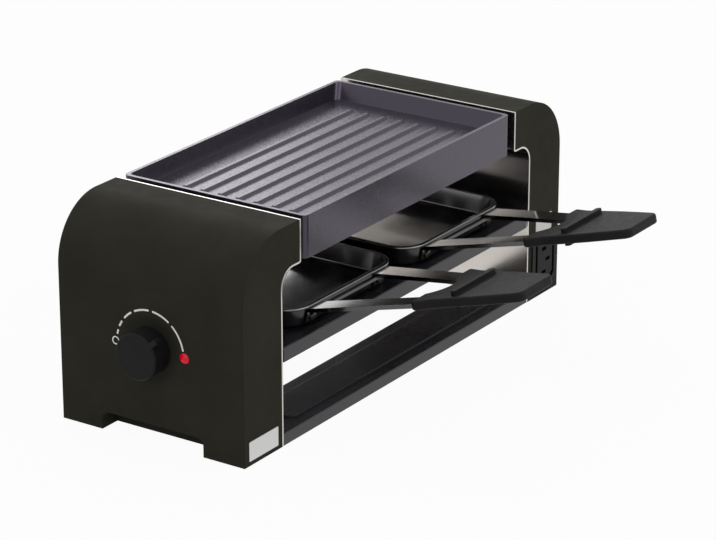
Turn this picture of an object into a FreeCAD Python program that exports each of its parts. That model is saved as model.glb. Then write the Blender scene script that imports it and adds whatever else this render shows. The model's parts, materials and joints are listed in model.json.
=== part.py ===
import FreeCAD, Part
import Sketcher
import math
import os
from collections import namedtuple

# Raclette grill for two: two end housings joined by a shelf and two base rails, a grill
# plate over a tubular heating element, two pans on the shelf, a knob on the near end.
# X runs along the grill and the knob end is at -X. The pan handles point to -Y. Z is up.
# The origin is the centre of the footprint on the floor. Lengths are millimetres.

SIZES = {
    # housings
    "overall_length": 305.0,
    "body_width": 115.0,
    "overall_height": 118.0,
    "foot_height": 1.0,
    "housing_depth": 33.5,
    "top_depth": 50.0,
    "overhang_drop": 23.0,
    "crown_radius": 32.5,
    "shell_wall": 2.0,
    "panel_sheet": 1.0,
    "overhang_bend": 9.5,
    "nose_bend": 1.5,
    "leg_width": 25.5,
    "recess_height": 11.0,
    "recess_depth": 12.4,
    "recess_corner": 4.0,
    # bottom covers and feet
    "cover_sheet": 1.2,
    "cover_gap": 0.2,
    "vent_length": 14.0,
    "vent_width": 2.5,
    "vent_pitch": 6.0,
    "foot_diameter": 10.0,
    "foot_stem": 4.0,
    "foot_head": 5.4,
    "foot_head_height": 1.5,
    "foot_inset_end": 16.5,
    "foot_inset_side": 11.5,
    # screws and rivets
    "screw_diameter": 3.0,
    "screw_head": 5.6,
    "screw_reach": 10.0,
    "rail_screw_reach": 3.0,
    "screw_end_gap": 2.0,
    "head_height": 1.6,
    "boss_diameter": 7.0,
    "cover_head_height": 0.7,
    "cover_screw_inset": 17.7,
    "cover_screw_shift": 6.0,
    "rivet_diameter": 2.4,
    "rivet_head": 4.4,
    "rivet_head_height": 0.9,
    "rivet_clearance": 0.3,
    "fit_gap": 0.1,
    # shelf
    "shelf_top": 54.2,
    "shelf_sheet": 1.0,
    "shelf_flange": 7.9,
    "front_setback": 0.2,
    "corner_relief": 1.2,
    "shelf_screw_drop": 4.5,
    "shelf_screw_inset": 11.5,
    # base rails
    "rail_top": 7.8,
    "rail_width": 36.0,
    "rail_sheet": 1.0,
    "emboss_height": 0.8,
    "emboss_inset_side": 7.6,
    "emboss_inset_end": 17.0,
    "emboss_corner": 8.5,
    "rail_screw_pitch": 14.0,
    # grill plate
    "plate_end_gap": 4.5,
    "plate_side_gap": 0.5,
    "tray_depth": 9.0,
    "plate_floor_thickness": 4.0,
    "plate_rim": 2.0,
    "plate_skirt": 2.5,
    "plate_corner": 3.0,
    "plate_seat_gap": 0.1,
    "tray_end_slope": 6.0,
    "tray_side_slope": 3.7,
    "rib_count": 7.0,
    "rib_pitch": 11.2,
    "rib_end_gap": 14.0,
    "rib_width": 4.4,
    "rib_height": 1.4,
    "rib_slope": 40.0,
    # plate rests under the overhangs
    "rest_sheet": 1.5,
    "rest_reach": 21.5,
    "rest_side_gap": 7.5,
    "rest_rivet_pitch": 40.0,
    "notch_width": 9.5,
    "notch_depth": 4.5,
    "locator_width": 12.0,
    "locator_height": 6.0,
    "locator_gap": 1.0,
    # heating element
    "element_diameter": 6.5,
    "element_pitch": 24.0,
    "element_inset": 8.5,
    "cold_inset": 3.2,
    "cold_reach": 3.0,
    "flange_length": 26.0,
    "flange_height": 11.0,
    "flange_sheet": 1.5,
    "flange_rivet_pitch": 18.0,
    "clip_sheet": 0.8,
    "clip_width": 6.0,
    "clip_gap": 0.5,
    "clip_tongue": 10.0,
    "clip_margin": 0.8,
    "terminal_length": 12.0,
    # knob, regulator and lamp
    "knob_level": 52.0,
    "knob_diameter": 25.0,
    "knob_gap": 0.8,
    "knob_reach": 12.4,
    "knob_wall": 1.6,
    "knob_hub": 9.0,
    "knob_face": 2.0,
    "hub_gap": 0.3,
    "knob_edge": 0.7,
    "pointer_angle": 41.0,
    "pointer_width": 3.0,
    "pointer_reach": 4.8,
    "pointer_depth": 4.0,
    "dish_diameter": 36.0,
    "dish_floor_diameter": 27.0,
    "dish_depth": 0.9,
    "shaft_diameter": 6.0,
    "shaft_flat": 1.0,
    "shaft_gap": 0.06,
    "shaft_reach": 8.0,
    "regulator_length": 20.0,
    "regulator_width": 32.0,
    "regulator_corner": 4.0,
    "bush_diameter": 9.0,
    "bush_past_nut": 0.2,
    "nut_height": 2.5,
    "nut_across": 13.0,
    "tab_length": 6.5,
    "tab_width": 6.3,
    "tab_sheet": 0.8,
    "tab_pitch": 16.0,
    "lamp_offset": 21.3,
    "lamp_diameter": 5.6,
    "lamp_dome": 1.4,
    "lamp_collar": 8.0,
    "lamp_collar_height": 1.2,
    "lamp_barrel": 6.4,
    "lamp_length": 14.0,
    # sockets in the far housing
    "socket_inset": 15.3,
    "socket_level": 21.4,
    "socket_flange_width": 27.0,
    "socket_flange_height": 33.0,
    "socket_flange_sheet": 0.8,
    "socket_flange_corner": 1.5,
    "socket_body_width": 24.6,
    "socket_body_height": 30.6,
    "socket_body_depth": 20.0,
    "socket_opening_width": 20.4,
    "socket_opening_height": 28.0,
    "socket_opening_depth": 16.0,
    "socket_bevel": 4.0,
    "tongue_width": 16.0,
    "tongue_height": 24.0,
    "slot_length": 4.5,
    "slot_width": 2.2,
    "slot_depth": 14.0,
    "pin_pitch": 14.0,
    "earth_offset": 4.0,
    "slot_shift": 1.0,
    "contact_height": 2.5,
    "inlet_opening_width": 17.0,
    "inlet_opening_height": 24.4,
    "pin_length": 14.0,
    "pin_width": 4.0,
    "pin_sheet": 2.0,
    # inner electrics
    "lead_diameter": 4.2,
    "lead_level": 4.5,
    "lead_inset": 4.7,
    "lead_bend": 8.0,
    "wire_diameter": 2.0,
    "block_length": 12.0,
    "block_width": 24.0,
    "block_height": 14.0,
    "block_inset": 6.0,
    "well_diameter": 4.0,
    "block_level": 22.0,
    "cutout_diameter": 16.0,
    "cutout_length": 8.0,
    "cutout_shift": 5.0,
    "cutout_drop": 14.0,
    "bracket_width": 22.4,
    "wire_bend": 5.0,
    # pans
    "pan_spacing": 9.8,
    "pan_length": 98.0,
    "pan_width": 90.0,
    "pan_height": 12.0,
    "pan_setback": 4.2,
    "pan_gap": 0.2,
    "pan_sheet": 1.2,
    "pan_draft": 2.5,
    "pan_corner": 15.5,
    "rim_lip": 1.0,
    "rim_height": 1.4,
    "floor_bend": 3.0,
    "arm_tilt": 11.46,
    "arm_drop": 1.2,
    "arm_root_outer": 36.5,
    "arm_root_inner": 23.9,
    "arm_tip_outer": 25.6,
    "arm_tip_inner": 13.2,
    "arm_length": 60.0,
    "arm_sheet": 1.0,
    "arm_depth": 2.2,
    "strip_reach": 34.0,
    "strip_width": 4.0,
    "strip_sheet": 1.2,
    "tab_inner": 26.0,
    "tab_outer": 36.0,
    "tab_drop": 8.2,
    "rivet_slack": 0.35,
    "pan_rivet_place": 31.0,
    "pan_rivet_drop": 5.6,
    "root_gap": 0.1,
    "grip_tilt": 13.0,
    "grip_overlap": 9.9,
    "grip_lift": 1.94,
    "grip_thickness": 5.1,
    "prong_outer": 28.0,
    "prong_inner": 13.0,
    "prong_place": 5.7,
    "prong_step": 1.6,
    "throat_place": 12.3,
    "shoulder_half": 25.0,
    "shoulder_place": 15.5,
    "waist_half": 21.0,
    "waist_place": 40.0,
    "tail_half": 17.5,
    "tail_place": 55.5,
    "tail_end_half": 15.6,
    "tail_corner": 5.0,
    "grip_length": 63.7,
    "grip_edge": 1.2,
    "ridge_place": 26.0,
    "ridge_width": 3.4,
    "ridge_reach": 19.5,
    "ridge_height": 2.5,
    "lower_ridge_place": 28.2,
    "lower_ridge_reach": 21.3,
    "lower_ridge_height": 1.3,
}

doc = FreeCAD.newDocument("raclette_grill")
sheet = doc.addObject("Spreadsheet::Sheet", "sizes")
for row, (alias, number) in enumerate(SIZES.items(), start=1):
    sheet.set("A%d" % row, alias)
    sheet.set("B%d" % row, str(number))
    sheet.setAlias("B%d" % row, alias)
doc.recompute()


class Length:
    """A number together with the sheet formula that gives it."""

    def __init__(self, value, formula):
        self.value = float(value)
        self.formula = formula

    def __add__(self, other):
        other = as_length(other)
        return Length(self.value + other.value, "(%s + %s)" % (self.formula, other.formula))

    def __sub__(self, other):
        other = as_length(other)
        return Length(self.value - other.value, "(%s - %s)" % (self.formula, other.formula))

    def __mul__(self, other):
        other = as_length(other)
        return Length(self.value * other.value, "(%s * %s)" % (self.formula, other.formula))

    def __truediv__(self, other):
        other = as_length(other)
        return Length(self.value / other.value, "(%s / %s)" % (self.formula, other.formula))

    def __radd__(self, other):
        return as_length(other) + self

    def __rsub__(self, other):
        return as_length(other) - self

    def __rmul__(self, other):
        return as_length(other) * self

    def __neg__(self):
        return self * -1


def as_length(number):
    return number if isinstance(number, Length) else Length(number, "(%.6f)" % number)


def sine(angle):
    angle = as_length(angle)
    return Length(math.sin(math.radians(angle.value)), "sin(%s)" % angle.formula)


def cosine(angle):
    angle = as_length(angle)
    return Length(math.cos(math.radians(angle.value)), "cos(%s)" % angle.formula)


def arctangent(ratio):
    return Length(math.degrees(math.atan(ratio.value)), "atan(%s)" % ratio.formula)


def root(square):
    return Length(math.sqrt(square.value), "sqrt(%s)" % square.formula)


class Sizes:
    """The sheet's cells by name."""


s = Sizes()
for alias in SIZES:
    setattr(s, alias, Length(sheet.get(alias), "sizes." + alias))

Disc = namedtuple("Disc", "u v radius")

PLANES = {"xy": ("XY_Plane", 1), "xz": ("XZ_Plane", -1), "yz": ("YZ_Plane", 1)}
AXES = {"x": FreeCAD.Rotation(FreeCAD.Vector(0, 1, 0), 90),
        "y": FreeCAD.Rotation(FreeCAD.Vector(1, 0, 0), -90),
        "z": FreeCAD.Rotation()}
ORIGIN = -1
NEAR, FAR = -1, 1
FRONT, REAR = -1, 1
ENDS = ((NEAR, "near"), (FAR, "far"))


# Helpers for bodies, sketches and features

def bind(item, name, length):
    item.setExpression(name, as_length(length).formula)


def new_body(label, base=None, turn=None):
    """A body named label; base is its place and turn an (axis, angle) pair."""
    body = doc.addObject("PartDesign::Body", label)
    body.Label = label
    if turn:
        axis, angle = turn
        body.Placement = FreeCAD.Placement(FreeCAD.Vector(), FreeCAD.Rotation(axis, 0.001))
        bind(body, "Placement.Rotation.Angle", angle)
    for letter, length in zip("xyz", base or ()):
        bind(body, "Placement.Base." + letter, length)
    return body


def origin_part(body, role):
    return [item for item in body.Origin.OriginFeatures if item.Role == role][0]


def vector(u, v):
    return FreeCAD.Vector(as_length(u).value, as_length(v).value, 0)


def pin_point(sketch, geometry, point, u, v):
    """Ties one point of a sketch line to its place from the origin."""
    for kind, length in (("DistanceX", u), ("DistanceY", v)):
        length = as_length(length)
        rule = Sketcher.Constraint(kind, ORIGIN, 1, geometry, point, length.value)
        index = sketch.addConstraint(rule)
        if "sizes." in length.formula:
            sketch.setExpression("Constraints[%d]" % index, length.formula)


def draw_disc(sketch, disc):
    circle = Part.Circle(vector(disc.u, disc.v), FreeCAD.Vector(0, 0, 1), disc.radius.value)
    geometry = sketch.addGeometry(circle, False)
    pin_point(sketch, geometry, 3, disc.u, disc.v)
    index = sketch.addConstraint(Sketcher.Constraint("Radius", geometry, disc.radius.value))
    sketch.setExpression("Constraints[%d]" % index, disc.radius.formula)


def draw_run(sketch, here, there):
    """A straight run, or an arc when here also holds a centre and a turn (+1 anticlockwise)."""
    start, end = vector(*here[:2]), vector(*there[:2])
    if len(here) == 2:
        return sketch.addGeometry(Part.LineSegment(start, end), False), (1, 2)
    centre, turn = vector(*here[2:4]), here[4]
    circle = Part.Circle(centre, FreeCAD.Vector(0, 0, 1), (start - centre).Length)
    first, last = (start, end) if turn > 0 else (end, start)
    angles = [math.atan2(point.y - centre.y, point.x - centre.x) for point in (first, last)]
    arc = Part.ArcOfCircle(circle, angles[0], angles[1])
    return sketch.addGeometry(arc, False), ((1, 2) if turn > 0 else (2, 1))


def draw_outline(sketch, points):
    """A closed outline; each entry is the point where a run starts."""
    runs = [draw_run(sketch, here, there) for here, there in zip(points, points[1:] + points[:1])]
    for (geometry, ends), (following, next_ends) in zip(runs, runs[1:] + runs[:1]):
        sketch.addConstraint(
            Sketcher.Constraint("Coincident", geometry, ends[1], following, next_ends[0]))
    for here, there, (geometry, ends) in zip(points, points[1:] + points[:1], runs):
        pin_point(sketch, geometry, ends[0], here[0], here[1])
        if len(here) > 2:
            chord = vector(*there[:2]) - vector(*here[:2])
            kind, centre = ("DistanceX", here[2]) if abs(chord.y) >= abs(chord.x) else ("DistanceY", here[3])
            centre = as_length(centre)
            rule = Sketcher.Constraint(kind, ORIGIN, 1, geometry, 3, centre.value)
            index = sketch.addConstraint(rule)
            if "sizes." in centre.formula:
                sketch.setExpression("Constraints[%d]" % index, centre.formula)


def new_sketch(body, name, plane, level, loops, tilt=None):
    """A sketch on one of the body's origin planes, level above it.

    With tilt, an (angle, y, z) triple, the plane passes through y, z and rises towards -Y.
    """
    role, sign = PLANES[plane]
    sketch = body.newObject("Sketcher::SketchObject", name + "_sketch")
    sketch.AttachmentSupport = (origin_part(body, role), [""])
    sketch.MapMode = "FlatFace"
    if tilt:
        angle, across, up = tilt
        slope = FreeCAD.Rotation(FreeCAD.Vector(-1, 0, 0), as_length(angle).value)
        sketch.AttachmentOffset = FreeCAD.Placement(FreeCAD.Vector(), slope)
        bind(sketch, "AttachmentOffset.Rotation.Angle", angle)
        bind(sketch, "AttachmentOffset.Base.y", across + level * sine(angle))
        bind(sketch, "AttachmentOffset.Base.z", up + level * cosine(angle))
    else:
        bind(sketch, "AttachmentOffset.Base.z", level * sign)
    for loop in loops:
        if isinstance(loop, Disc):
            draw_disc(sketch, loop)
        else:
            draw_outline(sketch, loop)
    return sketch


def slab(body, kind, name, plane, low, high, loops, tilt=None):
    """Adds (Pad) or cuts (Pocket) the loops between two levels along the plane's normal."""
    low, high = as_length(low), as_length(high)
    sketch = new_sketch(body, name, plane, (low + high) / 2, loops, tilt)
    feature = body.newObject("PartDesign::" + kind, name)
    feature.Profile = sketch
    feature.Midplane = True
    bind(feature, "Length", high - low)
    return feature


def add(body, *rest, **more):
    return slab(body, "Pad", *rest, **more)


def cut(body, *rest, **more):
    return slab(body, "Pocket", *rest, **more)


def loft(body, kind, name, plane, lower, upper):
    """Adds or cuts a straight-sided loft between two (level, loop) pairs."""
    sketches = [new_sketch(body, name + end, plane, as_length(level), [loop])
                for end, (level, loop) in (("_low", lower), ("_high", upper))]
    feature = body.newObject("PartDesign::%sLoft" % kind, name)
    feature.Profile = sketches[0]
    feature.Sections = [sketches[1]]
    feature.Ruled = True
    return feature


def revolve(body, name, points):
    """A solid of revolution about the body's X axis from an outline in its XZ plane."""
    sketch = new_sketch(body, name, "xz", as_length(0), [points])
    feature = body.newObject("PartDesign::Revolution", name)
    feature.Profile = sketch
    feature.ReferenceAxis = (origin_part(body, "X_Axis"), [""])
    feature.Angle = 360
    return feature


def round_edges(body, name, radius, wanted):
    """Fillets the edges of the body's tip that wanted(edge) picks."""
    doc.recompute()
    base = body.Tip
    names = ["Edge%d" % number for number, edge in enumerate(base.Shape.Edges, start=1)
             if wanted(edge)]
    fillet = body.newObject("PartDesign::Fillet", name)
    fillet.Base = (base, names)
    bind(fillet, "Radius", radius)
    return fillet


def repeat(body, name, feature, axis, span, count):
    """Copies a feature along one of the body's origin axes."""
    doc.recompute()
    pattern = body.newObject("PartDesign::LinearPattern", name)
    pattern.Originals = [feature]
    pattern.Direction = (origin_part(body, axis), [""])
    bind(pattern, "Length", span)
    pattern.Occurrences = int(round(count.value))
    body.Tip = pattern
    return pattern


def rectangle(u0, u1, v0, v1):
    return [(u0, v0), (u1, v0), (u1, v1), (u0, v1)]


def rounded(u0, u1, v0, v1, r):
    """A rectangle with u0 < u1 and v0 < v1 and four round corners."""
    return [(u0 + r, v0), (u1 - r, v0, u1 - r, v0 + r, 1),
            (u1, v0 + r), (u1, v1 - r, u1 - r, v1 - r, 1),
            (u1 - r, v1), (u0 + r, v1, u0 + r, v1 - r, 1),
            (u0, v1 - r), (u0, v0 + r, u0 + r, v0 + r, 1)]


def at_end(end, points):
    """Mirrors an outline drawn for the far end (+X) to the chosen end."""
    placed = []
    for point in points:
        if len(point) == 2:
            placed.append((end * point[0], point[1]))
        else:
            u, v, centre_u, centre_v, turn = point
            placed.append((end * u, v, end * centre_u, centre_v, end * turn))
    return placed


def ordered(one, other):
    return (one, other) if as_length(one).value <= as_length(other).value else (other, one)


# Helpers for simple solids and groups of fasteners

def put(item, centre, axis, along):
    """Places a primitive: its base at `along` on the axis, through the centre of the others."""
    item.Placement = FreeCAD.Placement(FreeCAD.Vector(), AXES[axis])
    places = dict(zip("xyz".replace(axis, ""), centre))
    places[axis] = along
    for letter, length in places.items():
        bind(item, "Placement.Base." + letter, length)


def rod(name, radius, axis, low, high, centre):
    low, high = ordered(low, high)
    item = doc.addObject("Part::Cylinder", name)
    bind(item, "Radius", radius)
    bind(item, "Height", as_length(high) - low)
    put(item, centre, axis, low)
    return item


def brick(name, x, y, z):
    """A box between (low, high) pairs."""
    item = doc.addObject("Part::Box", name)
    for side, letter, pair in zip(("Length", "Width", "Height"), "xyz", (x, y, z)):
        low, high = ordered(*pair)
        bind(item, side, as_length(high) - low)
        bind(item, "Placement.Base." + letter, low)
    return item


def joined(name, items):
    union = doc.addObject("Part::MultiFuse", name)
    union.Shapes = items
    return union


def without(name, base, tool):
    difference = doc.addObject("Part::Cut", name)
    difference.Base = base
    difference.Tool = tool
    return difference


def group(label, items):
    union = doc.addObject("Part::Compound", label)
    union.Label = label
    union.Links = items
    return union


def screw(name, axis, seat, tip, centre, tall):
    """A screw whose head stands outside its seat and whose shank ends at tip."""
    outward = 1 if as_length(seat).value > as_length(tip).value else -1
    head = rod(name + "_head", s.screw_head / 2, axis, seat, seat + outward * tall, centre)
    shank = rod(name + "_shank", s.screw_diameter / 2, axis, tip, seat + outward * 0.1, centre)
    return joined(name, [head, shank])


def rivet(name, axis, low, high, centre):
    """A rivet that clamps what lies between low and high."""
    low, high = ordered(low, high)
    tall = s.rivet_head_height
    under = rod(name + "_under", s.rivet_head / 2, axis, low - tall, low, centre)
    over = rod(name + "_over", s.rivet_head / 2, axis, high, high + tall, centre)
    shank = rod(name + "_shank", s.rivet_diameter / 2, axis, low - tall / 2, high + tall / 2, centre)
    return joined(name, [under, over, shank])


def corner_arc(before, corner, after, bend):
    """Where an arc of this bend radius leaves and meets the two runs of a corner, and its centre."""
    back = (before - corner).normalize()
    ahead = (after - corner).normalize()
    half = back.getAngle(ahead) / 2
    reach = bend / math.tan(half)
    middle = (back + ahead).normalize()
    return corner + back * reach, corner + ahead * reach, corner + middle * (bend / math.sin(half))


def straight(name, radius, start, end):
    """A round bar between two points."""
    item = doc.addObject("Part::Cylinder", name)
    bind(item, "Radius", radius)
    item.Height = (end - start).Length
    item.Placement = FreeCAD.Placement(start, FreeCAD.Rotation(FreeCAD.Vector(0, 0, 1), end - start))
    return item


def elbow(name, radius, bend, start, end, centre):
    """A bent piece of round bar from start to end about centre."""
    item = doc.addObject("Part::Torus", name)
    bind(item, "Radius1", bend)
    bind(item, "Radius2", radius)
    outward, towards = start - centre, end - centre
    item.Angle3 = math.degrees(outward.getAngle(towards))
    axis = outward.cross(towards)
    turn = FreeCAD.Rotation(outward, axis.cross(outward), axis, "ZXY")
    item.Placement = FreeCAD.Placement(centre, turn)
    return item


def tube(label, radius, points, bends):
    """A round bar through the points, with an arc of each bend radius at the inner ones."""
    places = [FreeCAD.Vector(*[as_length(length).value for length in point]) for point in points]
    pieces = []
    here = places[0]
    for index, bend in enumerate(bends, start=1):
        start, end, centre = corner_arc(places[index - 1], places[index], places[index + 1],
                                        as_length(bend).value)
        if (start - here).Length > 1e-4:
            pieces.append(straight("%s_run_%d" % (label, index), radius, here, start))
        pieces.append(elbow("%s_bend_%d" % (label, index), radius, bend, start, end, centre))
        here = end
    pieces.append(straight(label + "_last_run", radius, here, places[-1]))
    bar = joined(label, pieces)
    bar.Label = label
    return bar


# Levels and faces that several pieces share

end_face = s.overall_length / 2
side_face = s.body_width / 2
top_face = s.overall_height
overhang_level = top_face - s.overhang_drop
bay_low = end_face - s.housing_depth
bay_top = end_face - s.top_depth
hidden_face = bay_low + s.panel_sheet
inner_end = end_face - s.shell_wall
inner_side = side_face - s.shell_wall
nose_centre = (bay_top + s.nose_bend, overhang_level + s.nose_bend)
bend_centre = (bay_low - s.overhang_bend, overhang_level - s.overhang_bend)
crown_centre = (end_face - s.crown_radius, top_face - s.crown_radius)
cover_top = s.foot_height + s.cover_sheet
recess_back = end_face - s.recess_depth
recess_half = side_face - s.leg_width
screw_radius = s.screw_diameter / 2
hole_radius = screw_radius + s.fit_gap
element_legs = [s.element_pitch * step for step in (-1.5, -0.5, 0.5, 1.5)]
outer_leg = element_legs[3]
socket_centre = end_face - s.socket_inset
shelf_side = side_face - s.front_setback
shelf_bottom = s.shelf_top - s.shelf_flange
shelf_under = s.shelf_top - s.shelf_sheet
shelf_screw_places = [(side * (side_face - s.shelf_screw_inset), s.shelf_top - s.shelf_screw_drop)
                      for side in (FRONT, REAR)]
plate_half = bay_top - s.plate_end_gap
plate_wide = side_face - s.plate_side_gap
skirt_inside = plate_half - s.plate_skirt
tray_floor = top_face - s.tray_depth
rest_inner = bend_centre[0] - s.rest_reach
rest_level = overhang_level
rest_rivet_x = bend_centre[0] - s.rivet_head / 2 - s.rivet_clearance
regulator_back = s.regulator_length + s.shell_wall

rivet_radius = s.rivet_diameter / 2 + s.fit_gap
rail_inner = shelf_side - s.rail_width
rail_middle = (shelf_side + rail_inner) / 2
rail_screw_level = s.rail_top - s.rail_sheet - s.screw_head / 2 - s.fit_gap
clip_inner = s.element_diameter / 2 + s.clip_gap
clip_outer = clip_inner + s.clip_sheet
clip_foot = s.rivet_head + s.clip_margin * 2
element_reach = skirt_inside - s.element_inset
element_level = rest_level + clip_outer
cold_end = hidden_face + s.cold_reach
clip_rivet_x = element_reach - clip_outer - clip_foot / 2
tongue_reach = rest_inner - clip_rivet_x + clip_foot / 2
lead_offset = rail_inner + s.lead_inset
cover_screw_places = [side * (lead_offset - s.cover_screw_shift) for side in (FRONT, REAR)]
block_u = (-hidden_face - s.block_length, -hidden_face)
block_v = (lead_offset - s.block_inset, lead_offset - s.block_inset + s.block_width)
pan_front = shelf_side - s.pan_setback
pan_bottom = s.shelf_top + s.pan_gap
rim_top = pan_bottom + s.pan_height
root_y = -pan_front - s.root_gap
root_z = rim_top - s.arm_drop
pan_rivet_depth = s.arm_drop + s.pan_rivet_drop
cold_level = (rest_level - s.rest_sheet + rim_top) / 2
cutout_centre = (outer_leg - s.cutout_shift, cold_level - s.cutout_drop)
PAST = as_length(1)    # how far a cut runs past the face that it opens


def panel_nose(offset):
    """The two bends of the panel's overhang, offset towards the hidden side."""
    nose = s.nose_bend - offset
    bend = s.overhang_bend + offset
    return nose, bend


# Housings

def housing_shell(end, label):
    """Pressed shell: end face, quarter-round crown, top and two sides, open to the bay."""
    body = new_body(label)
    nose, bend = panel_nose(s.panel_sheet)
    outline = [
        (end_face, s.foot_height),
        (end_face, crown_centre[1], *crown_centre, 1),
        (crown_centre[0], top_face),
        (bay_top + s.panel_sheet, top_face),
        (bay_top + s.panel_sheet, nose_centre[1], *nose_centre, 1),
        (nose_centre[0], nose_centre[1] - nose),
        (bend_centre[0], bend_centre[1] + bend, *bend_centre, -1),
        (hidden_face, bend_centre[1]),
        (hidden_face, s.foot_height)]
    add(body, "block", "xz", -side_face, side_face, [at_end(end, outline)])
    cavity = [
        (inner_end, 0),
        (inner_end, crown_centre[1], *crown_centre, 1),
        (crown_centre[0], top_face - s.shell_wall),
        (bay_top, top_face - s.shell_wall),
        (bay_top, 0)]
    cut(body, "cavity", "xz", -inner_side, inner_side, [at_end(end, cavity)])
    half = recess_half
    box = rectangle(recess_back - s.shell_wall, inner_end + s.shell_wall / 2,
                    s.foot_height, s.recess_height + s.shell_wall)
    add(body, "recess_wall", "xz", -half - s.shell_wall, half + s.shell_wall, [at_end(end, box)])
    r = s.recess_corner
    notch = [(half, 0), (half, s.recess_height - r, half - r, s.recess_height - r, 1),
             (half - r, s.recess_height), (r - half, s.recess_height, r - half, s.recess_height - r, 1),
             (-half, s.recess_height - r), (-half, 0)]
    cut(body, "recess", "yz", *ordered(end * recess_back, end * (end_face + PAST)), [notch])
    boss = s.boss_diameter / 2
    cover_screws = [Disc(end * (end_face - s.cover_screw_inset), place, boss)
                    for place in cover_screw_places]
    add(body, "cover_bosses", "xy", cover_top + s.fit_gap, s.recess_height, cover_screws)
    posts = [Disc(*place, boss) for place in shelf_screw_places]
    add(body, "shelf_posts", "yz", *ordered(end * hidden_face, end * (inner_end + s.shell_wall / 4)), posts)
    cut(body, "cover_screw_holes", "xy", cover_top, s.recess_height - s.shell_wall / 2,
        [Disc(boss_disc.u, boss_disc.v, hole_radius) for boss_disc in cover_screws])
    hole_end = hidden_face + s.screw_reach + s.screw_end_gap
    cut(body, "shelf_screw_holes", "yz", *ordered(end * hidden_face, end * hole_end),
        [Disc(post.u, post.v, hole_radius) for post in posts])
    if end == NEAR:
        knob_holes(body)
    else:
        socket_hole(body, "outlet_hole", FRONT)
        socket_hole(body, "inlet_hole", REAR)
    return body


def knob_holes(body):
    """Shallow dish with a sloping wall round the knob, the bush hole and the lamp hole."""
    centre = (as_length(0), s.knob_level)
    loft(body, "Subtractive", "dish", "yz", (-end_face, Disc(*centre, s.dish_diameter / 2)),
         (s.dish_depth - end_face, Disc(*centre, s.dish_floor_diameter / 2)))
    cut(body, "bush_hole", "yz", -end_face - PAST, -inner_end + PAST,
        [Disc(*centre, s.bush_diameter / 2 + s.fit_gap)])
    cut(body, "lamp_hole", "yz", -end_face - PAST, -inner_end + PAST,
        [Disc(-s.lamp_offset, s.knob_level, s.lamp_diameter / 2 + s.fit_gap)])


def socket_hole(body, name, side):
    wide, tall = s.socket_body_width / 2 + s.fit_gap, s.socket_body_height / 2 + s.fit_gap
    opening = rectangle(socket_centre - wide, socket_centre + wide,
                        s.socket_level - tall, s.socket_level + tall)
    cut(body, name, "xz", *ordered(side * (inner_side - PAST), side * (side_face + PAST)), [opening])


def end_panel(end, label):
    """Polished inner panel: one folded sheet with the overhang's two bends."""
    body = new_body(label)
    nose, bend = panel_nose(s.panel_sheet)
    outline = [
        (bay_top, top_face),
        (bay_top, nose_centre[1], *nose_centre, 1),
        (nose_centre[0], nose_centre[1] - s.nose_bend),
        (bend_centre[0], bend_centre[1] + s.overhang_bend, *bend_centre, -1),
        (bay_low, bend_centre[1]),
        (bay_low, s.foot_height),
        (hidden_face, s.foot_height),
        (hidden_face, bend_centre[1], *bend_centre, 1),
        (bend_centre[0], bend_centre[1] + bend),
        (nose_centre[0], nose_centre[1] - nose, *nose_centre, -1),
        (bay_top + s.panel_sheet, nose_centre[1]),
        (bay_top + s.panel_sheet, top_face)]
    add(body, "sheet", "xz", -side_face, side_face, [at_end(end, outline)])
    through = ordered(end * (bay_low - PAST), end * (hidden_face + PAST))
    holes = [Disc(*place, hole_radius) for place in shelf_screw_places]
    holes += [Disc(place, rail_screw_level, hole_radius) for place in rail_screw_places()]
    holes.append(Disc(lead_offset, s.lead_level, s.lead_diameter / 2 + s.fit_gap))
    if end == NEAR:
        for side in (FRONT, REAR):
            leg = side * outer_leg
            holes.append(Disc(leg, cold_level, s.element_diameter / 2 + s.fit_gap))
            for step in (-0.5, 0.5):
                holes.append(Disc(leg + step * s.flange_rivet_pitch, cold_level, rivet_radius))
    cut(body, "wall_holes", "yz", *through, holes)
    rivets = [Disc(end * rest_rivet_x, place, rivet_radius) for place in rest_rivet_places()]
    cut(body, "rest_rivet_holes", "xy", overhang_level - PAST, overhang_level + s.panel_sheet + PAST, rivets)
    return body


def bottom_cover(end, label):
    """Closes a housing from below, with vent slots and holes for screws and feet."""
    body = new_body(label)
    low, high = hidden_face + s.cover_gap, inner_end - s.cover_gap
    side = inner_side - s.cover_gap
    half = recess_half + s.shell_wall + s.cover_gap
    step = recess_back - s.shell_wall - s.cover_gap
    outline = [(low, -side), (high, -side), (high, -half), (step, -half),
               (step, half), (high, half), (high, side), (low, side)]
    add(body, "plate", "xy", s.foot_height, cover_top, [at_end(end, outline)])
    holes = [Disc(end * (end_face - s.cover_screw_inset), place, hole_radius)
             for place in cover_screw_places]
    holes += [Disc(end * (end_face - s.foot_inset_end), side * (side_face - s.foot_inset_side),
                   s.foot_stem / 2 + s.fit_gap) for side in (FRONT, REAR)]
    cut(body, "holes", "xy", 0, cover_top + PAST, holes)
    middle = (low + step) / 2
    vents = []
    for place in (-1, 0, 1):
        v = place * s.vent_pitch
        reach = ordered(end * (middle - s.vent_length / 2), end * (middle + s.vent_length / 2))
        vents.append(rectangle(*reach, v - s.vent_width / 2, v + s.vent_width / 2))
    cut(body, "vents", "xy", 0, cover_top + PAST, vents)
    return body


def rail_screw_places():
    return [side * (rail_middle + step * s.rail_screw_pitch)
            for side in (FRONT, REAR) for step in (-0.5, 0.5)]


def rest_rivet_places():
    return [step * s.rest_rivet_pitch for step in (-1, 0, 1)]


# Shelf and base

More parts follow.
